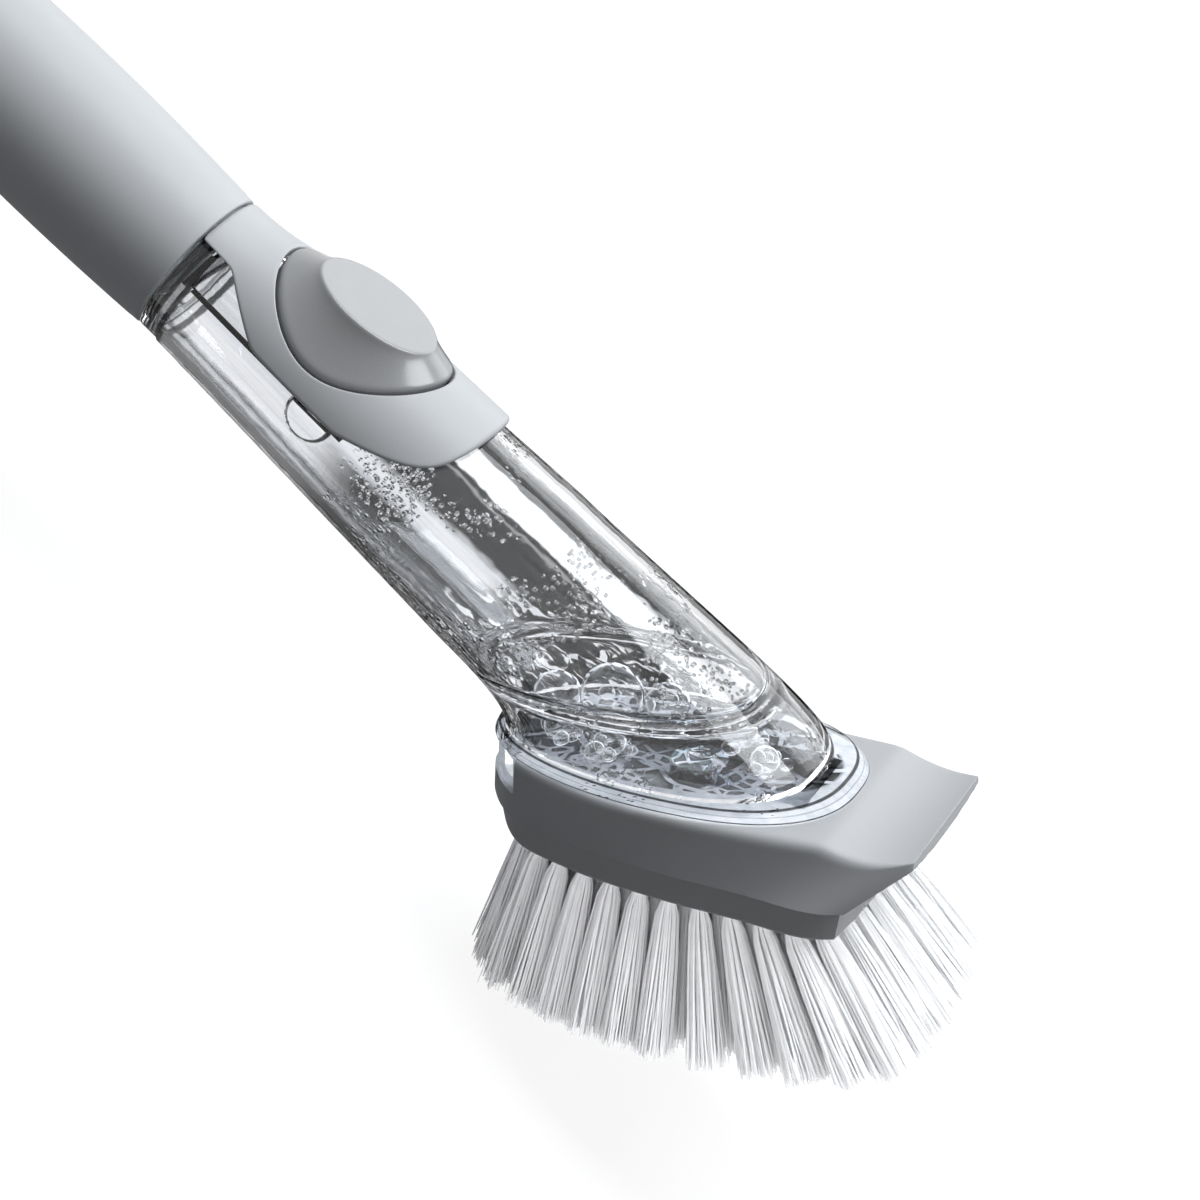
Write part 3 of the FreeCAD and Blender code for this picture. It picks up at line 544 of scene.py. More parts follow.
def film_lines(tree, place):
    """Thin dark and light lines where soap films meet on the base's floor: edges of large and of small cells, bent
    by a noise. Round it, the flange's slope has thin dark rings of painted shade along its edges."""
    bent = add_node(tree, "ShaderNodeTexNoise", {"Vector": place, "Scale": 90.0, "Detail": 2.0}).outputs["Color"]
    bent = add_node(tree, "ShaderNodeVectorMath", {0: bent, 1: (0.006, 0.006, 0.006), 2: place},
                    operation="MULTIPLY_ADD").outputs[0]
    large, small = (add_node(tree, "ShaderNodeTexVoronoi", {"Vector": bent, "Scale": scale},
                             feature="DISTANCE_TO_EDGE").outputs["Distance"] for scale in (110.0, 330.0))
    large = ramp(tree, large, (0.0, 1.0), (0.05, 1.0), (0.065, 0.0), (0.12, 0.02), (0.25, 0.12), (0.4, 0.05))
    small = ramp(tree, small, (0.0, 1.0), (0.1, 1.0), (0.14, 0.0), (0.3, 0.12), (0.5, 0.05))
    cells = mixed(tree, eased_range(tree, noise(tree, place, 75.0, 1.0), 0.5, 0.54), large, small)
    level = along_head(tree, place, head_axis)
    ahead = sums(tree, "MULTIPLY_ADD", along_head(tree, place, head_forward), 1 / (film_half_length * MM),
                 -film_middle / film_half_length)
    aside = sums(tree, "DIVIDE", add_node(tree, "ShaderNodeSeparateXYZ", {0: place}).outputs["Y"],
                 film_half_width * MM)
    floor_part = sums(tree, "MULTIPLY", eased_range(tree, level, (flange_high - 0.3) * MM, (flange_high - 0.1) * MM),
                      eased_range(tree, squares(tree, ahead, aside), 1.0, 0.94))
    # Painted shade: thin dark rings along the edges of the flange's slope.
    rings = ramp(tree, even_range(tree, level, flange_low * MM, flange_high * MM), (0.02, 1.0), (0.06, 0.02),
                 (0.14, 0.02), (0.18, 1.0), (0.45, 1.0), (0.5, 0.3), (0.56, 1.0), (0.78, 0.95), (0.82, 0.02),
                 (0.92, 0.02), (0.95, 1.0))
    return mixed(tree, floor_part, rings, cells)


heel = np.stack(egg_plan(heel_turn, **dict(low_egg, rear=high_egg["rear"])), -1)
heel = heel[heel[:, 0] < heel_front]
clear_base = clear_finish("clear_base", (0.8, 0.82, 0.85), 1.05, film_lines)
reservoir_base = lay_skin("reservoir_base_clear", [on_head(flange_rows), on_head(rail_rows),
                                                   prism(heel, rail_low, rail_join)], 30)
fitted(reservoir_base, "reservoir", "clear", clear_base, "reservoir_base")

# Soap froth
# What the last wash left on the reservoir's floor: thin-walled soap bubbles of many sizes, held by a wet film.
# They cling to the base inside the foot, so they ride with the reservoir.
froth_draw = np.random.default_rng(21)
froth_middle, froth_half_length, froth_half_width, small_count = -16.0, 30.0, 16.0, 90
large_froth = np.array([(-32.0, 5.3, 13.4, 6.0), (-42.0, 2.5, 12.4, 4.6), (-22.0, 8.5, 12.2, 4.2),
                        (-6.0, 4.0, 11.8, 3.4), (-26.0, -9.0, 11.6, 3.0), (2.0, -4.0, 11.4, 2.7),
                        (-37.0, -6.5, 11.6, 2.9)])
near_large = large_froth[froth_draw.integers(0, len(large_froth), small_count)]
small_radius = 0.45 + 1.5 * froth_draw.random(small_count) ** 2
small_turn = 2 * np.pi * froth_draw.random(small_count)
small_reach = near_large[:, 3] * (0.95 + 0.5 * froth_draw.random(small_count))
small_s = near_large[:, 0] + small_reach * np.cos(small_turn)
small_y = near_large[:, 1] + small_reach * np.sin(small_turn)
inside = ((small_s - froth_middle) / froth_half_length) ** 2 + (small_y / froth_half_width) ** 2 < 1
small_froth = np.stack([small_s, small_y, flange_high + 0.6 * small_radius, small_radius], -1)
froth_spots = np.concatenate([large_froth, small_froth[inside]])


def bubble(s, y, n, radius):
    """A bubble: a sphere of rings about n, flattened where it meets the floor."""
    tall = np.linspace(0, np.pi, 17 if radius > 2 else 9)[:, None]
    turn = np.linspace(0, 2 * np.pi, 33 if radius > 2 else 15)[None, :]
    ring = radius * np.sin(tall)
    height = np.maximum(n + radius * np.cos(tall), flange_high + 0.05) * np.ones_like(turn)
    return on_head(np.stack([s + ring * np.cos(turn), y + ring * np.sin(turn), height], -1))


froth_film, froth_shader = new_finish("froth_film", Roughness=0.04, IOR=1.33)
froth_tree = froth_film.node_tree
# The film's colour swirls between near black and near white: painted shade and painted highlights at the bubbles'
# rims.
painted_rim_swirl = noise(froth_tree, object_place(froth_tree), 260.0, Distortion=2.0)
froth_edge = add_node(froth_tree, "ShaderNodeLayerWeight", {"Blend": 0.5}).outputs["Facing"]
wire(froth_tree, froth_shader,
     Base_Color=ramp(froth_tree, painted_rim_swirl, (0.4, (0.03, 0.032, 0.036)), (0.5, (0.9, 0.92, 0.95))),
     Alpha=ramp(froth_tree, froth_edge, (0.0, 0.03), (0.5, 0.08), (0.66, 0.8), (0.8, 0.95)))
froth = lay_skin("soap_froth", [bubble(*spot) for spot in froth_spots], 60)
fitted(froth, "reservoir", "clear", froth_film)

# Valve, retainer, seals and pump bulb
# Soft turned mouldings in milky silicone: the slit valve in the outlet, the neck's ring, the soap port's ring
# and the pump's dome, with the plastic rings that hold the valve and the dome in place.
outlet = head_point(outlet_s, 0.0, 0.0)


def turned(profile, foot, axis, columns=72):
    """A surface of revolution: profile points (along, radius) about an axis through a foot point."""
    axis = np.asarray(axis, float)
    across = np.array([0.0, 1.0, 0.0])
    third = np.cross(axis, across)
    turn = np.linspace(0, 2 * np.pi, columns + 1)[None, :, None]
    along, radius = (np.asarray(profile, float)[:, k, None, None] for k in (0, 1))
    return np.asarray(foot) + along * axis + radius * (np.cos(turn) * third + np.sin(turn) * across)


def ring_profile(low, high, inner, outer, radius=0.3):
    """The closed section of a flat ring with rounded edges, starting and ending inside."""
    middle = (low + high) / 2
    return rounded([(middle, inner), (high, inner), (high, outer), (low, outer), (low, inner),
                    (middle, inner)], radius)


def mottled_finish(name, scale, detail, dark, light, light_from=0.7, **settings):
    """A finish whose colour wanders between a darker and a lighter one."""
    finish, shader = new_finish(name, **settings)
    tree = finish.node_tree
    mottle = noise(tree, object_place(tree), scale, detail)
    wire(tree, shader, Base_Color=ramp(tree, mottle, (0.3, dark), (light_from, light)))
    return finish, shader


def rubber_finish(name, colour):
    """Milky silicone: soft light under the skin, a faint mottle and a fine matte grain."""
    finish, shader = mottled_finish(name, 240.0, 4.0, tuple(0.9 * c for c in colour), colour, Subsurface_Weight=0.35,
                                    Subsurface_Scale=0.003, Roughness=0.5, IOR=1.41)
    tree = finish.node_tree
    wire(tree, shader, Normal=relief(tree, noise(tree, object_place(tree), 2600.0), 0.15, 0.0003))
    return finish


def coat(node, finish):
    """Gives a CAD node that stays in view its finish."""
    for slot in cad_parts[node].material_slots:
        slot.material = finish


silicone = rubber_finish("silicone", (0.84, 0.85, 0.87))
valve_profile = rounded([(6.6, 2.0), (6.6, 5.3), (5.4, 5.3), (5.4, 3.0), (2.8, 2.3), (2.8, 0.15), (3.5, 0.15),
                         (3.5, 1.6), (6.6, 2.0)], 0.25)
fitted(lay_skin("outlet_valve_silicone", [turned(valve_profile, outlet, head_axis)]), "reservoir", "silicone",
       silicone, "outlet_valve")
coat("valve_retainer", clear_base)
seal_profile = ring_profile(low=82.3, high=rim, inner=12.6, outer=13.6)
fitted(lay_skin("neck_seal_silicone", [turned(seal_profile, (0, 0, 0), (1, 0, 0), 96)]), "seal", "silicone",
       silicone, "neck_seal")
gasket_profile = ring_profile(low=-1.1, high=0.1, inner=3.0, outer=5.6)
fitted(lay_skin("port_gasket_silicone", [turned(gasket_profile, outlet, head_axis)]), "head", "silicone",
       silicone, "port_gasket")
bulb_profile = rounded([(0.05, 5.9), (0.05, 9.3), (1.4, 9.3), (1.4, 7.0), (3.6, 6.85), (6.4, 5.9), (8.4, 4.5),
                        (9.2, 3.0), (9.2, 0.0)], (0.3, 0.4, 0.3, 1.2, 1.4, 1.4, 0.9))
bulb_hollow = rounded([(8.1, 0.0), (8.1, 2.6), (7.4, 3.7), (5.6, 5.0), (3.2, 5.8), (0.05, 5.9)], 1.0)
pump_bulb = lay_skin("pump_bulb_silicone", [
    turned(np.concatenate([bulb_hollow, bulb_profile[1:]]), (button_x, 0, seat_level), (0, 0, 1))])
fitted(pump_bulb, "reservoir", "silicone", silicone, "pump_bulb")
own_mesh(pump_bulb)

# Handle
# The hollow screw-on grip, moulded in satin grey plastic with a fine spark grain. Its end is dished flat on
# both sides round the hanging hole, and a thread inside its mouth takes the reservoir's neck.
hole_inset, shoulder_place, shoulder_radius = 11.0, 7.0, 14.9
grip_place, grip_radius, rim_radius = 40.0, 16.2, 15.3
dish_radius, tab_half = 30.0, 5.0
mouth_radius, mouth_floor, thread_root, thread_floor = 13.9, 82.0, 12.7, 67.0
rib_crest, rib_start = 11.5, 73.2
dish_edge, dish_end = 0.5, 31.0
hole_half, hole_radius, hole_flare, flare_start, flare_run = 9.0, 4.0, 1.0, 4.1, 1.4


def grain_group():
    """Moulded plastic's skin: a fine spark grain, soft mottling and faint handling marks on a base colour."""
    group = bpy.data.node_groups.new("moulded_grain", "ShaderNodeTree")
    for name, kind, value in (("Colour", "NodeSocketColor", (0.5, 0.5, 0.5, 1)),
                              ("Grain", "NodeSocketFloat", 2200.0), ("Mottle", "NodeSocketFloat", 0.06),
                              ("Roughness", "NodeSocketFloat", 0.5)):
        group.interface.new_socket(name, in_out="INPUT", socket_type=kind).default_value = value
    for name, kind in (("Colour", "NodeSocketColor"), ("Roughness", "NodeSocketFloat"),
                       ("Height", "NodeSocketFloat")):
        group.interface.new_socket(name, in_out="OUTPUT", socket_type=kind)
    given = add_node(group, "NodeGroupInput").outputs
    place = object_place(group)
    grain = noise(group, place, given["Grain"], 3.0)
    cloud = noise(group, place, 38.0, 5.0)
    marks = noise(group, place, 130.0, 6.0, Distortion=1.2)
    shift = sums(group, "MULTIPLY_ADD", sums(group, "SUBTRACT", cloud, 0.5), given["Mottle"], 1.0)
    tone = sums(group, "MULTIPLY", shift, sums(group, "MULTIPLY_ADD", grain, 0.08, 0.96))
    colour = add_node(group, "ShaderNodeVectorMath", {0: given["Colour"], "Scale": tone},
                      operation="SCALE").outputs[0]
    rough = sums(group, "ADD", given["Roughness"], even_range(group, marks, 0.55, 0.75, 0.0, -0.12))
    add_node(group, "NodeGroupOutput", {"Colour": colour, "Roughness": rough, "Height": grain})
    return group


moulded_grain = grain_group()


def plastic_finish(name, colour, roughness=0.5, grain=3600.0, bump=0.05, coat=0.0):
    """A grey moulded plastic: the shared grain in its own colour, gloss and depth, under a soft coat or none."""
    finish, shader = new_finish(name, IOR=1.46, Specular_IOR_Level=0.3, Coat_Weight=coat, Coat_Roughness=0.2)
    tree = finish.node_tree
    skin = add_node(tree, "ShaderNodeGroup", node_tree=moulded_grain)
    for socket, value in (("Colour", (*colour, 1)), ("Roughness", roughness), ("Grain", grain)):
        skin.inputs[socket].default_value = value
    wire(tree, shader, Base_Color=skin.outputs["Colour"], Roughness=skin.outputs["Roughness"],
         Normal=relief(tree, skin.outputs["Height"], bump))
    return finish


def cut(piece, cutter):
    """Takes a closed cutter out of a closed piece for good, and drops the cutter."""
    tool = piece.modifiers.new("cut", "BOOLEAN")
    tool.operation, tool.solver, tool.object = "DIFFERENCE", "EXACT", cutter
    solid = bpy.data.meshes.new_from_object(piece.evaluated_get(bpy.context.evaluated_depsgraph_get()))
    piece.modifiers.clear()
    piece.data = solid
    bpy.data.objects.remove(cutter)
    return creased(piece)


handle_grey = plastic_finish("handle_grey", (0.455, 0.465, 0.475), 0.48)
barrel_x = np.linspace(shoulder_place, rim, 70)
chord = np.array([(shoulder_place, shoulder_radius), (grip_place, grip_radius), (rim, rim_radius)])
barrel = np.polyval(np.polyfit(chord[:, 0], chord[:, 1], 2), barrel_x)
dome_turn = np.linspace(0, np.pi / 2, 40)[:-1]
dome = np.stack([shoulder_place - (shoulder_place + hole_inset) * np.cos(dome_turn),
                 shoulder_radius * np.sin(dome_turn)], -1)
mouth = rounded([(rim - 1.2, barrel[-1]), (rim, rim_radius), (rim, mouth_radius), (mouth_floor, mouth_radius),
                 (mouth_floor, thread_root), (thread_floor, thread_root), (26.0, 9.5), (21.0, 7.5), (19.0, 0.0)],
                (0.5, 0.3, 0.2, 0.3, 0.6, 3.0, 3.0))
outside = np.stack([barrel_x, barrel], -1)[barrel_x < rim - 1.3]
handle_path = np.concatenate([dome, outside, mouth])
handle_skin = turned(handle_path, (0, 0, 0), (1, 0, 0), 144)
dish_level = tab_half + dish_radius - np.sqrt(np.clip(dish_radius ** 2 - handle_skin[..., 0] ** 2, 0, None))
z = handle_skin[..., 2]
over = np.abs(z) - dish_level
handle_skin[..., 2] = np.sign(z) * (np.abs(z) - dish_edge * np.logaddexp(0, over / dish_edge)
                                    * (handle_skin[..., 0] < dish_end))
handle = lay_skin("handle_shell_grip", [handle_skin])
hole_along = hole_half * np.linspace(-1, 1, 25)
hole_wide = hole_radius + hole_flare * soft_step((np.abs(hole_along) - flare_start) / flare_run)
hole_profile = np.concatenate([[(-hole_half, 0.0)], np.stack([hole_along, hole_wide], -1), [(hole_half, 0.0)]])
handle = cut(handle, lay_skin("hole_cutter", [turned(hole_profile, (0, 0, 0), (0, 0, 1), 64)]))
fitted(handle, "handle", "handle_grey", handle_grey, "handle_shell")
fitted(lay_skin("handle_thread", [helix_rib(thread_root, rib_crest, rib_start)]), "handle", "handle_grey", handle_grey)

# Bezel
# The light grey cover snapped over the pump, with a tongue under the handle's rim and one on the tube.
# It is moulded in satin plastic, with rounded edges and a rounded opening for the button.
bezel_start, bezel_wall, opening_half_width, opening_round, edge_round = 84.35, 2.2, 15.9, 0.45, 1.0
unroll, tube_gap, level_from = 18.0, 0.1, 0.8


def spline(knots, values, x):
    """A natural cubic spline through knots: the second derivatives solve the usual three-term equations."""
    knots, values = np.asarray(knots, float), np.asarray(values, float)
    h = np.diff(knots)
    count = len(knots)
    system = np.eye(count)
    inner = np.arange(1, count - 1)
    system[inner, inner - 1], system[inner, inner], system[inner, inner + 1] = h[:-1], 2 * (h[:-1] + h[1:]), h[1:]
    slope = np.diff(values, axis=0) / h.reshape(-1, *(1,) * (values.ndim - 1))
    right = np.zeros_like(values)
    right[1:-1] = 6 * np.diff(slope, axis=0)
    bend = np.linalg.solve(system, right)
    k = np.clip(np.searchsorted(knots, x) - 1, 0, count - 2)
    shape = np.shape(x) + (1,) * (values.ndim - 1)
    a = np.reshape(knots[k + 1] - x, shape)
    b = np.reshape(x - knots[k], shape)
    g = np.reshape(h[k], shape)
    return ((bend[k] * a ** 3 + bend[k + 1] * b ** 3) / (6 * g) + (values[k] / g - bend[k] * g / 6) * a
            + (values[k + 1] / g - bend[k + 1] * g / 6) * b)


bezel_insets = np.array([0.3, 8.0, 20.0, 36.0, 64.0])
bezel_prouds = np.array([0.0, 0.1, 1.9, 2.45, 1.8])


def bezel_radius(x):
    """Radius of the bezel's skin about X: the tube's, and what the bezel stands proud of it."""
    return spline(rim + bezel_insets, tube_radius(rim + bezel_insets) + bezel_prouds, x)


def bezel_inner(x):
    """Radius of the bezel's inside: a wall in from its skin, and just clear of the tube in front of the seat."""
    return np.where(x > seat_end, np.maximum(bezel_radius(x) - bezel_wall, tube_radius(x) + tube_gap),
                    bezel_radius(x) - bezel_wall)


def eased(loop, passes):
    """Rounds the corners of a closed loop: each pass moves every point halfway to the middle of its neighbours."""
    for _ in range(passes):
        loop = 0.5 * loop + 0.25 * (np.roll(loop, 1, axis=0) + np.roll(loop, -1, axis=0))
    return loop


rise_knots = np.array([(126.0, 5.4), (136.6, 8.8), (144.2, 13.4), (147.4, 25.7)])
rise_walk = walk(rise_knots)
rise = spline(rise_walk, rise_knots, np.linspace(0, rise_walk[-1], 3000))
low_edge = np.concatenate([[(bezel_start, 11.0), (92.0, 11.0), (105.0, 5.4)], rise])
low_edge = evenly(low_edge, 6000)
kept = np.argmax(low_edge[:, 1] >= bezel_radius(low_edge[:, 0]))
edge_x, edge_z = low_edge[:kept].T
half_edge = np.stack([edge_x, unroll * np.arccos(edge_z / bezel_radius(edge_x))], -1)
half_edge = np.concatenate([[(bezel_start, 0.0)], half_edge, [(edge_x[-1], 0.0)]])
half_edge = evenly(half_edge, 421)
bezel_loop = np.concatenate([half_edge, half_edge[-2:0:-1] * (1, -1)])
bezel_loop = eased(bezel_loop, 18)[::2]
along = np.roll(bezel_loop, -1, axis=0) - np.roll(bezel_loop, 1, axis=0)
inward = unit(np.stack([along[:, 1], -along[:, 0]], -1))
oval_turn = np.linspace(-np.pi, np.pi, 2001)


def oval_plan(turn, margin):
    """The button's opening widened by a margin, seen from above."""
    return (button_x + (pocket_half_length + margin) * np.cos(turn), (opening_half_width + margin) * np.sin(turn))


oval_x, oval_y = oval_plan(oval_turn, 0.0)
oval_w = unroll * np.arcsin(oval_y / bezel_radius(oval_x))
column_turn = np.interp(np.arctan2(bezel_loop[:, 1], bezel_loop[:, 0] - button_x),
                        np.arctan2(oval_w, oval_x - button_x), oval_turn)


def on_skin(x, w):
    """Points of the unrolled skin: w / unroll is the angle from +Z."""
    r = bezel_radius(x)
    return np.stack([x, r * np.sin(w / unroll), r * np.cos(w / unroll)], -1)


def over_plan(x, y, lift):
    """Points over a plan position, on the skin lifted by a height."""
    return np.stack([x, y, np.sqrt((bezel_radius(x) + lift) ** 2 - y ** 2)], -1)


quarter = np.linspace(0, np.pi / 2, 7)
round_steps = [(opening_round * (1 - math.cos(t)), opening_round * (math.sin(t) - 1)) for t in quarter]
round_rows = [over_plan(*oval_plan(column_turn, d), h) for d, h in round_steps]
opening_x, opening_y = oval_plan(column_turn, 0.0)
opening_low = np.stack([opening_x, opening_y, np.sqrt(bezel_inner(opening_x) ** 2 - opening_y ** 2)], -1)
opening_rows = [opening_low + (round_rows[0] - opening_low) * k for k in np.linspace(0, 1, 8)[:-1]]
round_x, round_y = oval_plan(column_turn, opening_round)
round_loop = np.stack([round_x, unroll * np.arcsin(round_y / bezel_radius(round_x))], -1)
inset_loop = bezel_loop + inward * edge_round
skin_rows = [on_skin(*(round_loop + (inset_loop - round_loop) * k).T) for k in np.linspace(0, 1, 30)[1:-1]]


def edge_row(inset, drop):
    """The outline drawn in and dropped under the skin: its height stays where the skin is steep, and falls with
    the radius where the skin is level."""
    x, w = (bezel_loop + inward * inset).T
    level = np.cos(w / unroll)
    r = np.maximum(bezel_radius(x) - drop, bezel_inner(x))
    level_share = np.clip((level - level_from) / (1 - level_from), 0, 1)
    height = np.minimum(bezel_radius(x) * level - (bezel_radius(x) - r) * level_share, r)
    return np.stack([x, np.sign(w) * np.sqrt(np.clip(r * r - height ** 2, 0, None)), height], -1)


edge_rows = [edge_row(edge_round * (1 - math.sin(t)), edge_round * (1 - math.cos(t))) for t in quarter]
edge_rows += [edge_row(0.0, d) for d in (1.2, 1.7, bezel_wall)]
low_angle = [np.arctan2(row[:, 1], row[:, 2]) for row in (edge_rows[-1], opening_low)]
inside_rows = []
for k in np.linspace(0, 1, 14)[1:]:
    x = edge_rows[-1][:, 0] * (1 - k) + opening_low[:, 0] * k
    a = low_angle[0] * (1 - k) + low_angle[1] * k
    inside_rows.append(np.stack([x, bezel_inner(x) * np.sin(a), bezel_inner(x) * np.cos(a)], -1))


def closed(rows):
    """Rows stacked into a sheet whose last column repeats its first."""
    sheet = np.stack(rows)
    return np.concatenate([sheet, sheet[:, :1]], axis=1)


bezel_skin = closed(opening_rows + round_rows + skin_rows + edge_rows + inside_rows)
bezel_grey = plastic_finish("bezel_grey", (0.44, 0.448, 0.458), 0.46)
fitted(lay_skin("button_bezel_cover", [bezel_skin]), "reservoir", "bezel_grey", bezel_grey, "button_bezel")
coat("bulb_clamp", bezel_grey)

# Push button
# The oval button that pumps soap: hollow flanks rise from the bezel's line to a sloping flat top. Its grey is darker
# than the bezel's: in part its own colour, in part painted shade on the hollow flanks.
# It is a moulded cup in plastic with a soft sheen, and a post underneath stands on the pump bulb.
button_half_length, button_half_width, button_wall = 18.4, 15.5, 1.8
top_half_length, top_half_width, top_rise, top_slope = 12.8, 9.5, 1.8, math.tan(math.radians(4.0))
skirt_low, foot_gap, flank_power = 9.4, 0.2, 1.4
post_low, post_radius, post_round, post_sunk = 14.8, 3.2, 0.2, 0.9
button_turn = np.linspace(0, 2 * np.pi, 145)
top_level = float(bezel_radius(np.array(button_x))) + top_rise


def button_oval(half_length, half_width):
    """An oval about the button's middle, seen from above."""
    return button_x + half_length * np.cos(button_turn), half_width * np.sin(button_turn)


def button_slope(x, inset):
    """The height of the sloping top."""
    return top_level - inset + top_slope * (x - button_x)


def button_ring(up, inset):
    """One level of the button: the oval draws in by 1 - (1 - up)^1.4 of the way from its foot to its top."""
    drawn_in = 1 - (1 - up) ** flank_power
    foot_x, foot_y = button_oval(button_half_length - inset, button_half_width - inset)
    foot = np.sqrt(bezel_radius(foot_x) ** 2 - foot_y ** 2) + foot_gap - inset
    x, y = button_oval(button_half_length - inset + drawn_in * (top_half_length - button_half_length),
                       button_half_width - inset + drawn_in * (top_half_width - button_half_width))
    return np.stack([x, y, foot + up * (button_slope(x, inset) - foot)], -1)


def button_top(share, inset):
    """The sloping top, drawn in towards its middle by a share."""
    x, y = button_oval((top_half_length - inset) * share, (top_half_width - inset) * share)
    return np.stack([x, y, button_slope(x, inset)], -1)


def skirt_ring(level, inset):
    """The upright skirt's oval at a level."""
    x, y = button_oval(button_half_length - inset, button_half_width - inset)
    return np.stack([x, y, np.full_like(x, level)], -1)


foot_ring = button_ring(0.0, 0.0)
skirt_rows = [skirt_ring(skirt_low, 0.0) * (1 - k) + foot_ring * k for k in np.linspace(0, 1, 14)[:-1]]
flank_rows = [button_ring(up, 0.0) for up in np.linspace(0, 1, 44)]
top_shares = np.concatenate([np.linspace(1, 0.8, 12)[1:], np.linspace(0.8, 0, 10)[1:]])
outer = np.stack(skirt_rows + flank_rows + [button_top(k, 0.0) for k in top_shares])
for _ in range(9):
    outer[1:-1] = 0.5 * outer[1:-1] + 0.25 * (outer[:-2] + outer[2:])
inner_rows = [button_top(k, button_wall) for k in np.linspace(0, 1, 6)]
inner_rows += [button_ring(up, button_wall) for up in np.linspace(1, 0, 12)] + [skirt_ring(skirt_low, button_wall)]
button_skin = np.concatenate([np.stack(inner_rows), outer])
post_top = top_level - post_sunk
post = turned([(post_low, 0.0), (post_low, post_radius - post_round), (post_low + post_round, post_radius),
               (post_top, post_radius), (post_top, 0.0)], (button_x, 0, 0), (0, 0, 1), 48)
# A darker grey than the bezel's, in part painted shade on the hollow flanks.
button_grey = plastic_finish("button_grey", (0.22, 0.223, 0.23), 0.4, 3000.0, 0.08, coat=1.0)
fitted(lay_skin("push_button_cap", [button_skin, post]), "button", "button_grey", button_grey, "push_button")

# Head frame
# The grey block that slides onto the rail: soft shoulders, a dished prow and a straight scraper edge.
# It is moulded in satin plastic with a T-shaped channel, open at the rear, and a port for the soap.
parting, wall_top, head_rear, wall_rear = -4.5, 7.0, -52.0, -42.5
prow_low, prow_low_half, head_half, prow_bulge = 25.3, 23.9, 25.3, 1.5
scraper_s, scraper_half, scraper_level, scraper_land, shoulder_half = 35.9, 17.0, 5.7, 1.5, 23.6
scoop_radius, scoop_s, scoop_run, scoop_ease = 24.0, 30.0, 14.0, 0.25
spine_rear, spine_front, floor_front = -36.0, 27.0, 12.0
channel_front, slot_half, slot_top, mouth_half = 12.3, 13.0, 4.3, 10.3
gasket_radius, gasket_low = 5.7, -1.1
far_rear, far_side, far_up, port_radius, port_low, port_top = -70.0, 40.0, 20.0, 3.0, -20.0, 5.0
low_side = np.array([(0.04, 1.0), (0.2, 0.996), (0.42, 0.953), (0.56, 0.901), (0.685, 0.83), (0.79, 0.731),
                     (0.88, 0.61), (0.955, 0.36)])
top_side = np.array([(0.16, 0.91), (0.32, 0.975), (0.515, 1.0), (0.62, 0.965), (0.72, 0.89), (0.81, 0.775),
                     (0.89, 0.65), (0.955, 0.39)])
lean = (scraper_s - prow_low) / (scraper_level - scraper_land - parting)
top_front = prow_low + lean * (wall_top - parting)


def head_plan(front, half_front, widest, shares, inset, round_count=220, bow_count=60):
    """A plan outline from the front corner round the rear to the other corner, as one spline, and back along
    the bowed front edge."""
    span = front - head_rear
    side = np.concatenate([[(front - inset, half_front - inset)],
                           np.stack([front - inset - shares[:, 0] * (span - 2 * inset),
                                     shares[:, 1] * (widest - inset)], -1)])
    knots = np.concatenate([side, [(head_rear + inset, 0.0)], side[::-1] * (1, -1)])
    walked = walk(knots)
    round_part = spline(walked, knots, np.linspace(0, walked[-1], round_count))
    across = np.linspace(-1, 1, bow_count)[1:]
    bow = np.stack([side[0, 0] + prow_bulge * (1 - across ** 2), across * side[0, 1]], -1)
    return np.concatenate([round_part, bow])


def top_height(s):
    """The block's top: level, and dished by a cylinder across in front."""
    axis = scraper_level + math.sqrt(scoop_radius ** 2 - (scraper_s - scoop_s) ** 2)
    scoop = axis - np.sqrt(np.clip(scoop_radius ** 2 - (s - scoop_s) ** 2, 0, None))
    soft = -scoop_ease * np.logaddexp(-wall_top / scoop_ease, -scoop / scoop_ease)
    return np.where(s > scoop_s - scoop_run, soft, wall_top)


def lower_plan(inset, *counts):
    """The plan at the parting line, drawn in by an inset."""
    return head_plan(prow_low, prow_low_half, head_half, low_side, inset, *counts)


def spine_under(plan, front):
    """The points of the middle line that a plan is drawn in to."""
    return np.stack([np.clip(plan[:, 0], spine_rear, front), np.zeros(len(plan))], -1)


low_plan = lower_plan(0.0)
top_plan = head_plan(top_front, scraper_half, shoulder_half, top_side, 0.0)


def wall_plan(share):
    """The outer wall's plan at a share of its height, cut off at the scraper."""
    plan = low_plan + (top_plan - low_plan) * share
    return np.stack([np.minimum(plan[:, 0], scraper_s), plan[:, 1]], -1)


height = np.full(len(low_plan), wall_top)
for _ in range(12):
    share = ((height - parting) / (wall_top - parting))[:, None]
    height = top_height(wall_plan(share)[:, 0])
crown = wall_plan(share)
shoulder = np.interp(crown[:, 0], [12.0, 30.0, 34.5, scraper_s], [2.2, 1.2, 0.35, 0.2])
spine = spine_under(crown, spine_front)
towards = unit(spine - crown)
wall_share = ((height - shoulder - parting) / (wall_top - parting))[:, None]
wall_rows = [at_level(wall_plan(wall_share * k), parting + (height - shoulder - parting) * k)
             for k in np.linspace(0, 1, 26)]
brow = crown + towards * shoulder[:, None]
corner, arrive = at_level(crown, height), at_level(brow, top_height(brow[:, 0]))
shoulder_rows = arc_rows(wall_rows[-1], corner, arrive, 10)[1:]
roof_plans = [brow + (spine - brow) * k for k in np.linspace(0, 1, 34)[1:]]
roof_rows = [at_level(plan, top_height(plan[:, 0])) for plan in roof_plans]
low_spine = spine_under(low_plan, floor_front)
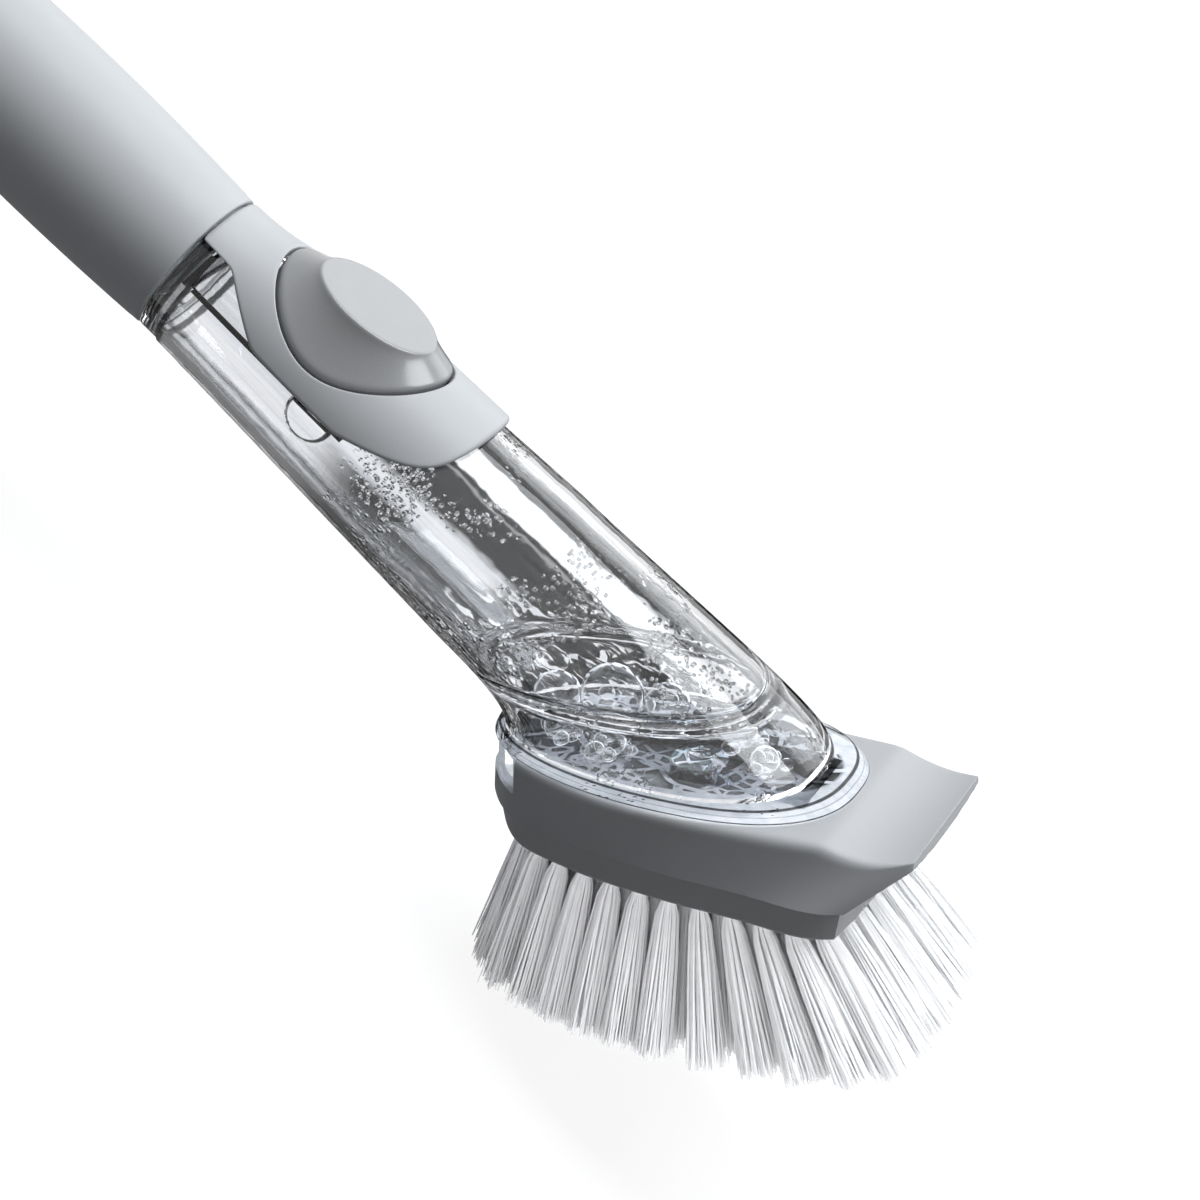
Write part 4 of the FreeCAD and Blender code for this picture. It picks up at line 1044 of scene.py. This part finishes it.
floor_rows = [at_level(low_spine + (low_plan - low_spine) * k, parting) for k in (0.0, 0.5, 0.99)]
block = on_head(closed(floor_rows + wall_rows + shoulder_rows + roof_rows))
head_frame = lay_skin("head_frame_block", [block], 30)


def plan_box(s0, s1, half):
    """The outline of a box in plan, alike on both sides."""
    return np.array([(s0, -half), (s1, -half), (s1, half), (s0, half)])


def port_bore(radius, low):
    """A cutter for the soap's port."""
    return turned([(low, 0.0), (low, radius), (port_top, radius), (port_top, 0.0)], outlet, head_axis, 48)


for name, outline, low, high in (("rear_cutter", plan_box(far_rear, wall_rear, far_side), 0.0, far_up),
                                 ("slot_cutter", plan_box(far_rear, channel_front, slot_half), 0.0, slot_top),
                                 ("mouth_cutter", plan_box(far_rear, channel_front, mouth_half), 0.05, far_up)):
    head_frame = cut(head_frame, lay_skin(name, [prism(outline, low, high)]))
for radius, low in ((port_radius, port_low), (gasket_radius, gasket_low)):
    head_frame = cut(head_frame, lay_skin("port_cutter", [port_bore(radius, low)]))
creased(head_frame, 30)
head_grey = plastic_finish("head_grey", (0.40, 0.405, 0.415), 0.45)
fitted(head_frame, "head", "head_grey", head_grey, "head_frame")

# Tuft plate
# The plate under the block that the tufts are stapled into, drilled for the soap.
# It is moulded in grey plastic, and stands back a little from the block along the parting line.
plate_low, plate_gap, plate_drop, top_inset, low_inset = -11.5, 0.02, 5.86, 0.8, 2.2
plate_front, edge_share, edge_reach = 10.0, 0.16, 1.1
plate_top_plan, plate_low_plan = lower_plan(top_inset), lower_plan(low_inset)
plate_spine = spine_under(plate_low_plan, plate_front)
edge_start = plate_low_plan + (plate_top_plan - plate_low_plan) * edge_share
edge_end = plate_low_plan + unit(plate_spine - plate_low_plan) * edge_reach
plate_top = parting - plate_gap
plate_rows = [at_level(plate_spine + (plate_top_plan - plate_spine) * k, plate_top) for k in (0.0, 0.5, 1.0)]
plate_rows += [at_level(plate_top_plan + (edge_start - plate_top_plan) * k, plate_top - plate_drop * k)
               for k in np.linspace(0, 1, 8)[1:]]
plate_rows += arc_rows(at_level(edge_start, plate_top - plate_drop), at_level(plate_low_plan, plate_low),
                       at_level(edge_end, plate_low), 8)[1:]
plate_rows += [at_level(edge_end + (plate_spine - edge_end) * k, plate_low) for k in np.linspace(0, 1, 5)[1:]]
tuft_plate = lay_skin("tuft_plate_lower", [on_head(closed(plate_rows))], 30)
tuft_plate = cut(tuft_plate, lay_skin("soap_cutter", [port_bore(port_radius, port_low)]))
creased(tuft_plate, 30)
plate_grey = plastic_finish("plate_grey", (0.41, 0.412, 0.42), 0.5)
fitted(tuft_plate, "head", "plate_grey", plate_grey, "tuft_plate")

# Tufts
# Bundles of white nylon filaments, folded and stapled into the plate, that fan out and end unevenly.
# They stand in three rings: the outer ring is one piece and the two inner rings are another.
tuft_middle, tuft_length, root_radius, tip_radius = -10.0, 31.0, 1.1, 3.8
lean_front, lean_rear, lean_side = 0.92, 0.34, 0.26
filament_radius, strands = 0.17, 150
fan_power, length_spread, bow_spread = 0.38, 0.07, 0.55
tuft_plan = lower_plan(low_inset, 600, 200)
draw = np.random.default_rng(7)


def tuft_ring(share, count):
    """Roots and directions of one ring of tufts: even steps round the plate's outline, drawn in by a share."""
    loop = evenly(np.concatenate([tuft_plan, tuft_plan[:1]]), count + 1)[:-1]
    s, y = tuft_middle + share * (loop[:, 0] - tuft_middle), share * loop[:, 1]
    ahead = s - tuft_middle
    lean_share = np.where(ahead > 0, lean_front / (prow_low - tuft_middle), lean_rear / (tuft_middle - head_rear))
    way = np.stack([lean_share * ahead, lean_side * y / head_half, -np.ones(count)], -1)
    return np.stack([s, y, np.full(count, plate_low)], -1), unit(way)


def filaments(roots, ways):
    """Thin three-sided strands: each starts at its own spot of the tuft's root, bows a little, and ends at the
    same spot of a wider tip, p = root + way t L + spot (r0 + (r1 - r0) t^0.38) + bow t^2."""
    count = len(roots) * strands
    root, way = np.repeat(roots, strands, axis=0)[:, None], np.repeat(ways, strands, axis=0)[:, None]
    side = unit(np.cross(way, (0.0, 1.0, 0.0)))
    third = np.cross(way, side)
    radius = np.sqrt(draw.random((count, 1, 1)))
    angle = 2 * np.pi * draw.random((count, 1, 1))
    spot = radius * (np.cos(angle) * side + np.sin(angle) * third)
    length = tuft_length * (1 - length_spread * draw.random((count, 1, 1)) ** 2)
    bow = draw.normal(0, bow_spread, (count, 1, 1)) * side + draw.normal(0, bow_spread, (count, 1, 1)) * third
    t = np.array([-0.05, 0.0, 0.12, 0.4, 0.7, 1.0])[None, :, None]
    out = np.clip(t, 0, None)
    spread = root_radius - filament_radius + (tip_radius - root_radius) * out ** fan_power
    line = root + way * t * length + spot * spread + bow * out ** 2
    corner = (2 * np.pi * np.arange(4) / 3)[None, None, :, None]
    thick = filament_radius * np.where(t < 0.99, 1.0, 0.8)[:, :, None]
    tube = line[:, :, None] + thick * (np.cos(corner) * side[:, :, None] + np.sin(corner) * third[:, :, None])
    caps = [np.repeat(line[:, k:k + 1, None], 4, axis=2) for k in (0, -1)]
    return on_head(np.concatenate([caps[0], tube, caps[1]], axis=1))


def brush(name, rings):
    """All the strands of some rings as one mesh: each is a short sheet of its own, laid side by side."""
    strips = np.concatenate([filaments(*tuft_ring(share, count)) for share, count in rings])
    number = np.arange(strips[..., 0].size).reshape(strips.shape[:3])
    return welded(name, strips.reshape(-1, 3), grid_quads(number), 80, 1e-6)


nylon = mottled_finish("nylon", 330.0, 2.0, (0.9, 0.905, 0.92), (0.95, 0.955, 0.965), 0.65, Roughness=0.5,
                       IOR=1.4)[0]
outer_tufts = fitted(brush("outer_tufts_nylon", [(0.86, 30)]), "head", "nylon", nylon, "outer_tufts")
inner_tufts = fitted(brush("inner_tufts_nylon", [(0.58, 20), (0.3, 10)]), "head", "nylon", nylon, "inner_tufts")

# Tuft staples
# Flat steel anchors driven through each fold to pin the tufts in their holes.
# They keep their CAD shape, with fine scratches in the steel.
staple_wire = mottled_finish("staple_wire", 4000.0, 3.0, (0.55, 0.55, 0.54), (0.72, 0.72, 0.7), Metallic=1.0,
                             Roughness=0.35)[0]
coat("tuft_staples", staple_wire)

# Studio
# A plain pale floor under the lowest tips, a large soft lamp above, one behind, and two low lamps that light the
# tufts alone, because the filaments shade one another more than the photograph shows.
floor_mesh = bpy.data.meshes.new("floor")
reach, floor_level = 4.0, cad_box[0].z - 0.0002
floor_mesh.from_pydata([(x, y, floor_level) for x, y in ((-reach, -reach), (reach, -reach), (reach, reach),
                                                         (-reach, reach))], [], [(0, 1, 2, 3)])
floor = placed("floor", floor_mesh)


def seen_rays(tree):
    """1 for rays from the camera and those that mirrors and glass send on, 0 for light that falls on things."""
    path = add_node(tree, "ShaderNodeLightPath").outputs
    return sums(tree, "MAXIMUM", sums(tree, "MAXIMUM", path["Is Camera Ray"], path["Is Glossy Ray"]),
                path["Is Transmission Ray"])


def bare_paint(name, mesh):
    """A node material with no shader yet, on a mesh. Returns its tree."""
    paint = bpy.data.materials.new(name)
    paint.use_nodes = True
    paint.node_tree.nodes.remove(paint.node_tree.nodes["Principled BSDF"])
    mesh.materials.append(paint)
    return paint.node_tree


floor_tree = bare_paint("floor_paint", floor_mesh)
matte = add_node(floor_tree, "ShaderNodeBsdfDiffuse", {"Color": (0.16, 0.16, 0.165, 1)}).outputs[0]
glow = add_node(floor_tree, "ShaderNodeEmission", {"Color": (1, 1, 1, 1), "Strength": 0.9}).outputs[0]
bright = add_node(floor_tree, "ShaderNodeAddShader", {0: matte, 1: glow}).outputs[0]
surface(floor_tree, add_node(floor_tree, "ShaderNodeMixShader",
                             {0: seen_rays(floor_tree), 1: matte, 2: bright}).outputs[0])

world = bpy.data.worlds.new("studio")
bpy.context.scene.world = world
world.use_nodes = True
sky = world.node_tree
sky_mix = add_node(sky, "ShaderNodeMixRGB", {0: seen_rays(sky), 1: (0.12, 0.123, 0.13, 1), 2: (1, 1, 1, 1)})
wire(sky, sky.nodes["Background"], Color=sky_mix.outputs[0])


def lamp(name, place, target, width, length, power, colour=(1, 1, 1)):
    """A flat lamp that faces a target, its length along X as far as the aim allows."""
    light = bpy.data.lights.new(name, "AREA")
    light.shape, light.size, light.size_y, light.energy, light.color = "RECTANGLE", length, width, power, colour
    lit = placed(name, light)
    back = (Vector(place) - Vector(target)).normalized()
    up = back.cross(Vector((1, 0, 0))).normalized()
    side = up.cross(back)
    lit.matrix_world = Matrix(((side.x, up.x, back.x, place[0]), (side.y, up.y, back.y, place[1]),
                               (side.z, up.z, back.z, place[2]), (0, 0, 0, 1)))
    lit.visible_camera = False
    return lit


lamp("key_lamp", (0.17, 0.10, 0.75), (0.16, 0.05, 0.0), 0.5, 0.9, 9.4, (0.95, 0.98, 1.0))
lamp("back_lamp", (0.15, 0.85, 0.56), (0.16, 0.0, 0.0), 0.5, 1.0, 3.0, (0.95, 0.98, 1.0))
tuft_glow = bpy.data.collections.new("tuft_glow")
for tufts in (outer_tufts, inner_tufts):
    tuft_glow.objects.link(tufts)
for low_lamp in (lamp("brush_lamp", (0.30, -0.36, 0.04), (0.24, 0.0, -0.04), 0.2, 0.5, 0.75),
                 lamp("tip_lamp", (0.52, -0.06, 0.02), (0.24, 0.0, -0.04), 0.16, 0.4, 0.8)):
    low_lamp.light_linking.receiver_collection = tuft_glow

# Camera
# It stands where the photograph was taken from, rolled so that the handle runs to the upper left.
camera = placed("camera", bpy.data.cameras.new("camera"))
right, up = Vector((0.7184, 0.394, 0.5733)), Vector((-0.695, 0.3728, 0.6148))
back = Vector((0.0285, -0.8401, 0.5417))
camera.rotation_mode = "QUATERNION"
camera.rotation_quaternion = Matrix((right, up, back)).transposed().to_quaternion()
camera.location = (0.1999, -0.5572, 0.3675)
camera.data.sensor_width = 36.0
camera.data.lens = 109.15
bpy.context.scene.camera = camera
bpy.context.scene.view_settings.view_transform = "Standard"

# Striped card
# A sheet with long grey stripes that lies on the floor behind the tube, as dark card lies behind clear plastic in
# a studio. Only what clear and glossy pieces refract or mirror shows it, so the floor in view stays plain and white.
card_half, card_bend_end, card_ior, card_reach_near, card_reach_far = 1.5, 0.86, 1.5, 0.15, 0.5
card_length, card_lift, bend_x, card_edge_grey = 0.34, 0.001, 150.0, (0.25, 0.25, 0.25, 1)
card_along, card_across = np.meshgrid(np.linspace(0.0, card_length, 60), np.linspace(-card_half, card_half, 181),
                                      indexing="ij")
eye = np.array(camera.location)
lift = np.array([0.0, eye[2], -eye[1]]) / math.hypot(eye[1], eye[2])


def bent_by(share):
    """The angle that a hollow clear tube of radii R and r turns a ray by that enters at a share q of R, outwards:
    2 (asin(qR/r) - asin(qR/nr) - asin(q) + asin(q/n))."""
    wide = share * tube_radius(bend_x) / (tube_radius(bend_x) - wall)
    return 2 * (np.arcsin(wide) - np.arcsin(wide / card_ior) - np.arcsin(share) + np.arcsin(share / card_ior))


def beside_axis(share):
    """Points beside the tube's axis as the camera sees it, at a share of the tube's radius."""
    out = (share * tube_radius(card_along / MM) * MM)[..., None] * lift
    return out + card_along[..., None] * (1.0, 0.0, 0.0)


bent_share = np.clip(card_across, -card_bend_end, card_bend_end)
card_aim, card_start = beside_axis(card_across), beside_axis(bent_share)
card_bend = bent_by(bent_share)
way_x, way_y, way_z = np.moveaxis(card_start - eye, -1, 0)
card_way = np.stack([way_x, way_y * np.cos(card_bend) - way_z * np.sin(card_bend),
                     way_y * np.sin(card_bend) + way_z * np.cos(card_bend)], -1)
card_sheet = card_start + card_way * ((floor_level + card_lift - card_start[..., 2]) / card_way[..., 2])[..., None]
card_sheet[..., 1] += np.where(card_across < 0, card_reach_near, card_reach_far) * (card_across - bent_share)
card_mesh = bpy.data.meshes.new("striped_card")
card_mesh.from_pydata(card_sheet.reshape(-1, 3), [],
                      grid_quads(np.arange(card_along.size).reshape(card_along.shape).T))
for name, values in (("along", card_along), ("across", card_across), ("above_floor", above_rail(card_aim / MM) * MM)):
    mark_points(card_mesh, name, values)
card = placed("striped_card", card_mesh)
card.visible_camera = card.visible_diffuse = card.visible_shadow = False
card_tree = bare_paint("card_paint", card_mesh)
along, across, above = (add_node(card_tree, "ShaderNodeAttribute", attribute_name=name).outputs["Fac"]
                        for name in ("along", "across", "above_floor"))


def stripes(*stops):
    """Stripes along the card: (place across in the tube's radii, grey)."""
    start, end = stops[0][0], stops[-1][0]
    return ramp(card_tree, even_range(card_tree, across, start, end),
                *(((place - start) / (end - start), grey) for place, grey in stops))


tube_stripes = stripes((-1.2, 0.1), (-0.88, 0.03), (-0.85, 0.5), (-0.8, 0.0), (-0.46, 0.0), (-0.36, 1.0),
                       (-0.2, 1.0), (-0.1, 0.0), (0.28, 0.0), (0.31, 0.4), (0.34, 0.0), (0.38, 0.0), (0.4, 1.0),
                       (0.66, 1.0), (0.68, 0.0), (0.78, 0.0), (0.8, 0.2), (0.82, 0.0), (1.2, 0.1))
seat_stripes = stripes((-1.2, 0.2), (-0.9, 0.2), (-0.88, 0.03), (-0.86, 0.03), (-0.82, 0.9), (-0.77, 0.0),
                       (-0.7, 0.9), (-0.16, 1.0), (0.9, 0.9), (1.2, 0.4))
card_cloud = noise(card_tree, object_place(card_tree), 170.0, 3.0, Distortion=1.5)
foot_cloud = ramp(card_tree, card_cloud, (0.46, 0.0), (0.55, 0.05), (0.58, 0.3), (0.62, 1.0))
in_foot = sums(card_tree, "MULTIPLY", eased_range(card_tree, above, 0.036, 0.031),
               eased_range(card_tree, across, 0.4, 0.36))
card_grey = mixed(card_tree, in_foot, tube_stripes, foot_cloud)
card_grey = mixed(card_tree, eased_range(card_tree, along, 0.120, 0.136), seat_stripes, card_grey)
outwards = sums(card_tree, "ABSOLUTE", across)
card_grey = mixed(card_tree, eased_range(card_tree, outwards, 0.9, card_half), card_grey, card_edge_grey)
surface(card_tree, add_node(card_tree, "ShaderNodeEmission", {"Color": card_grey, "Strength": 1.0}).outputs[0])
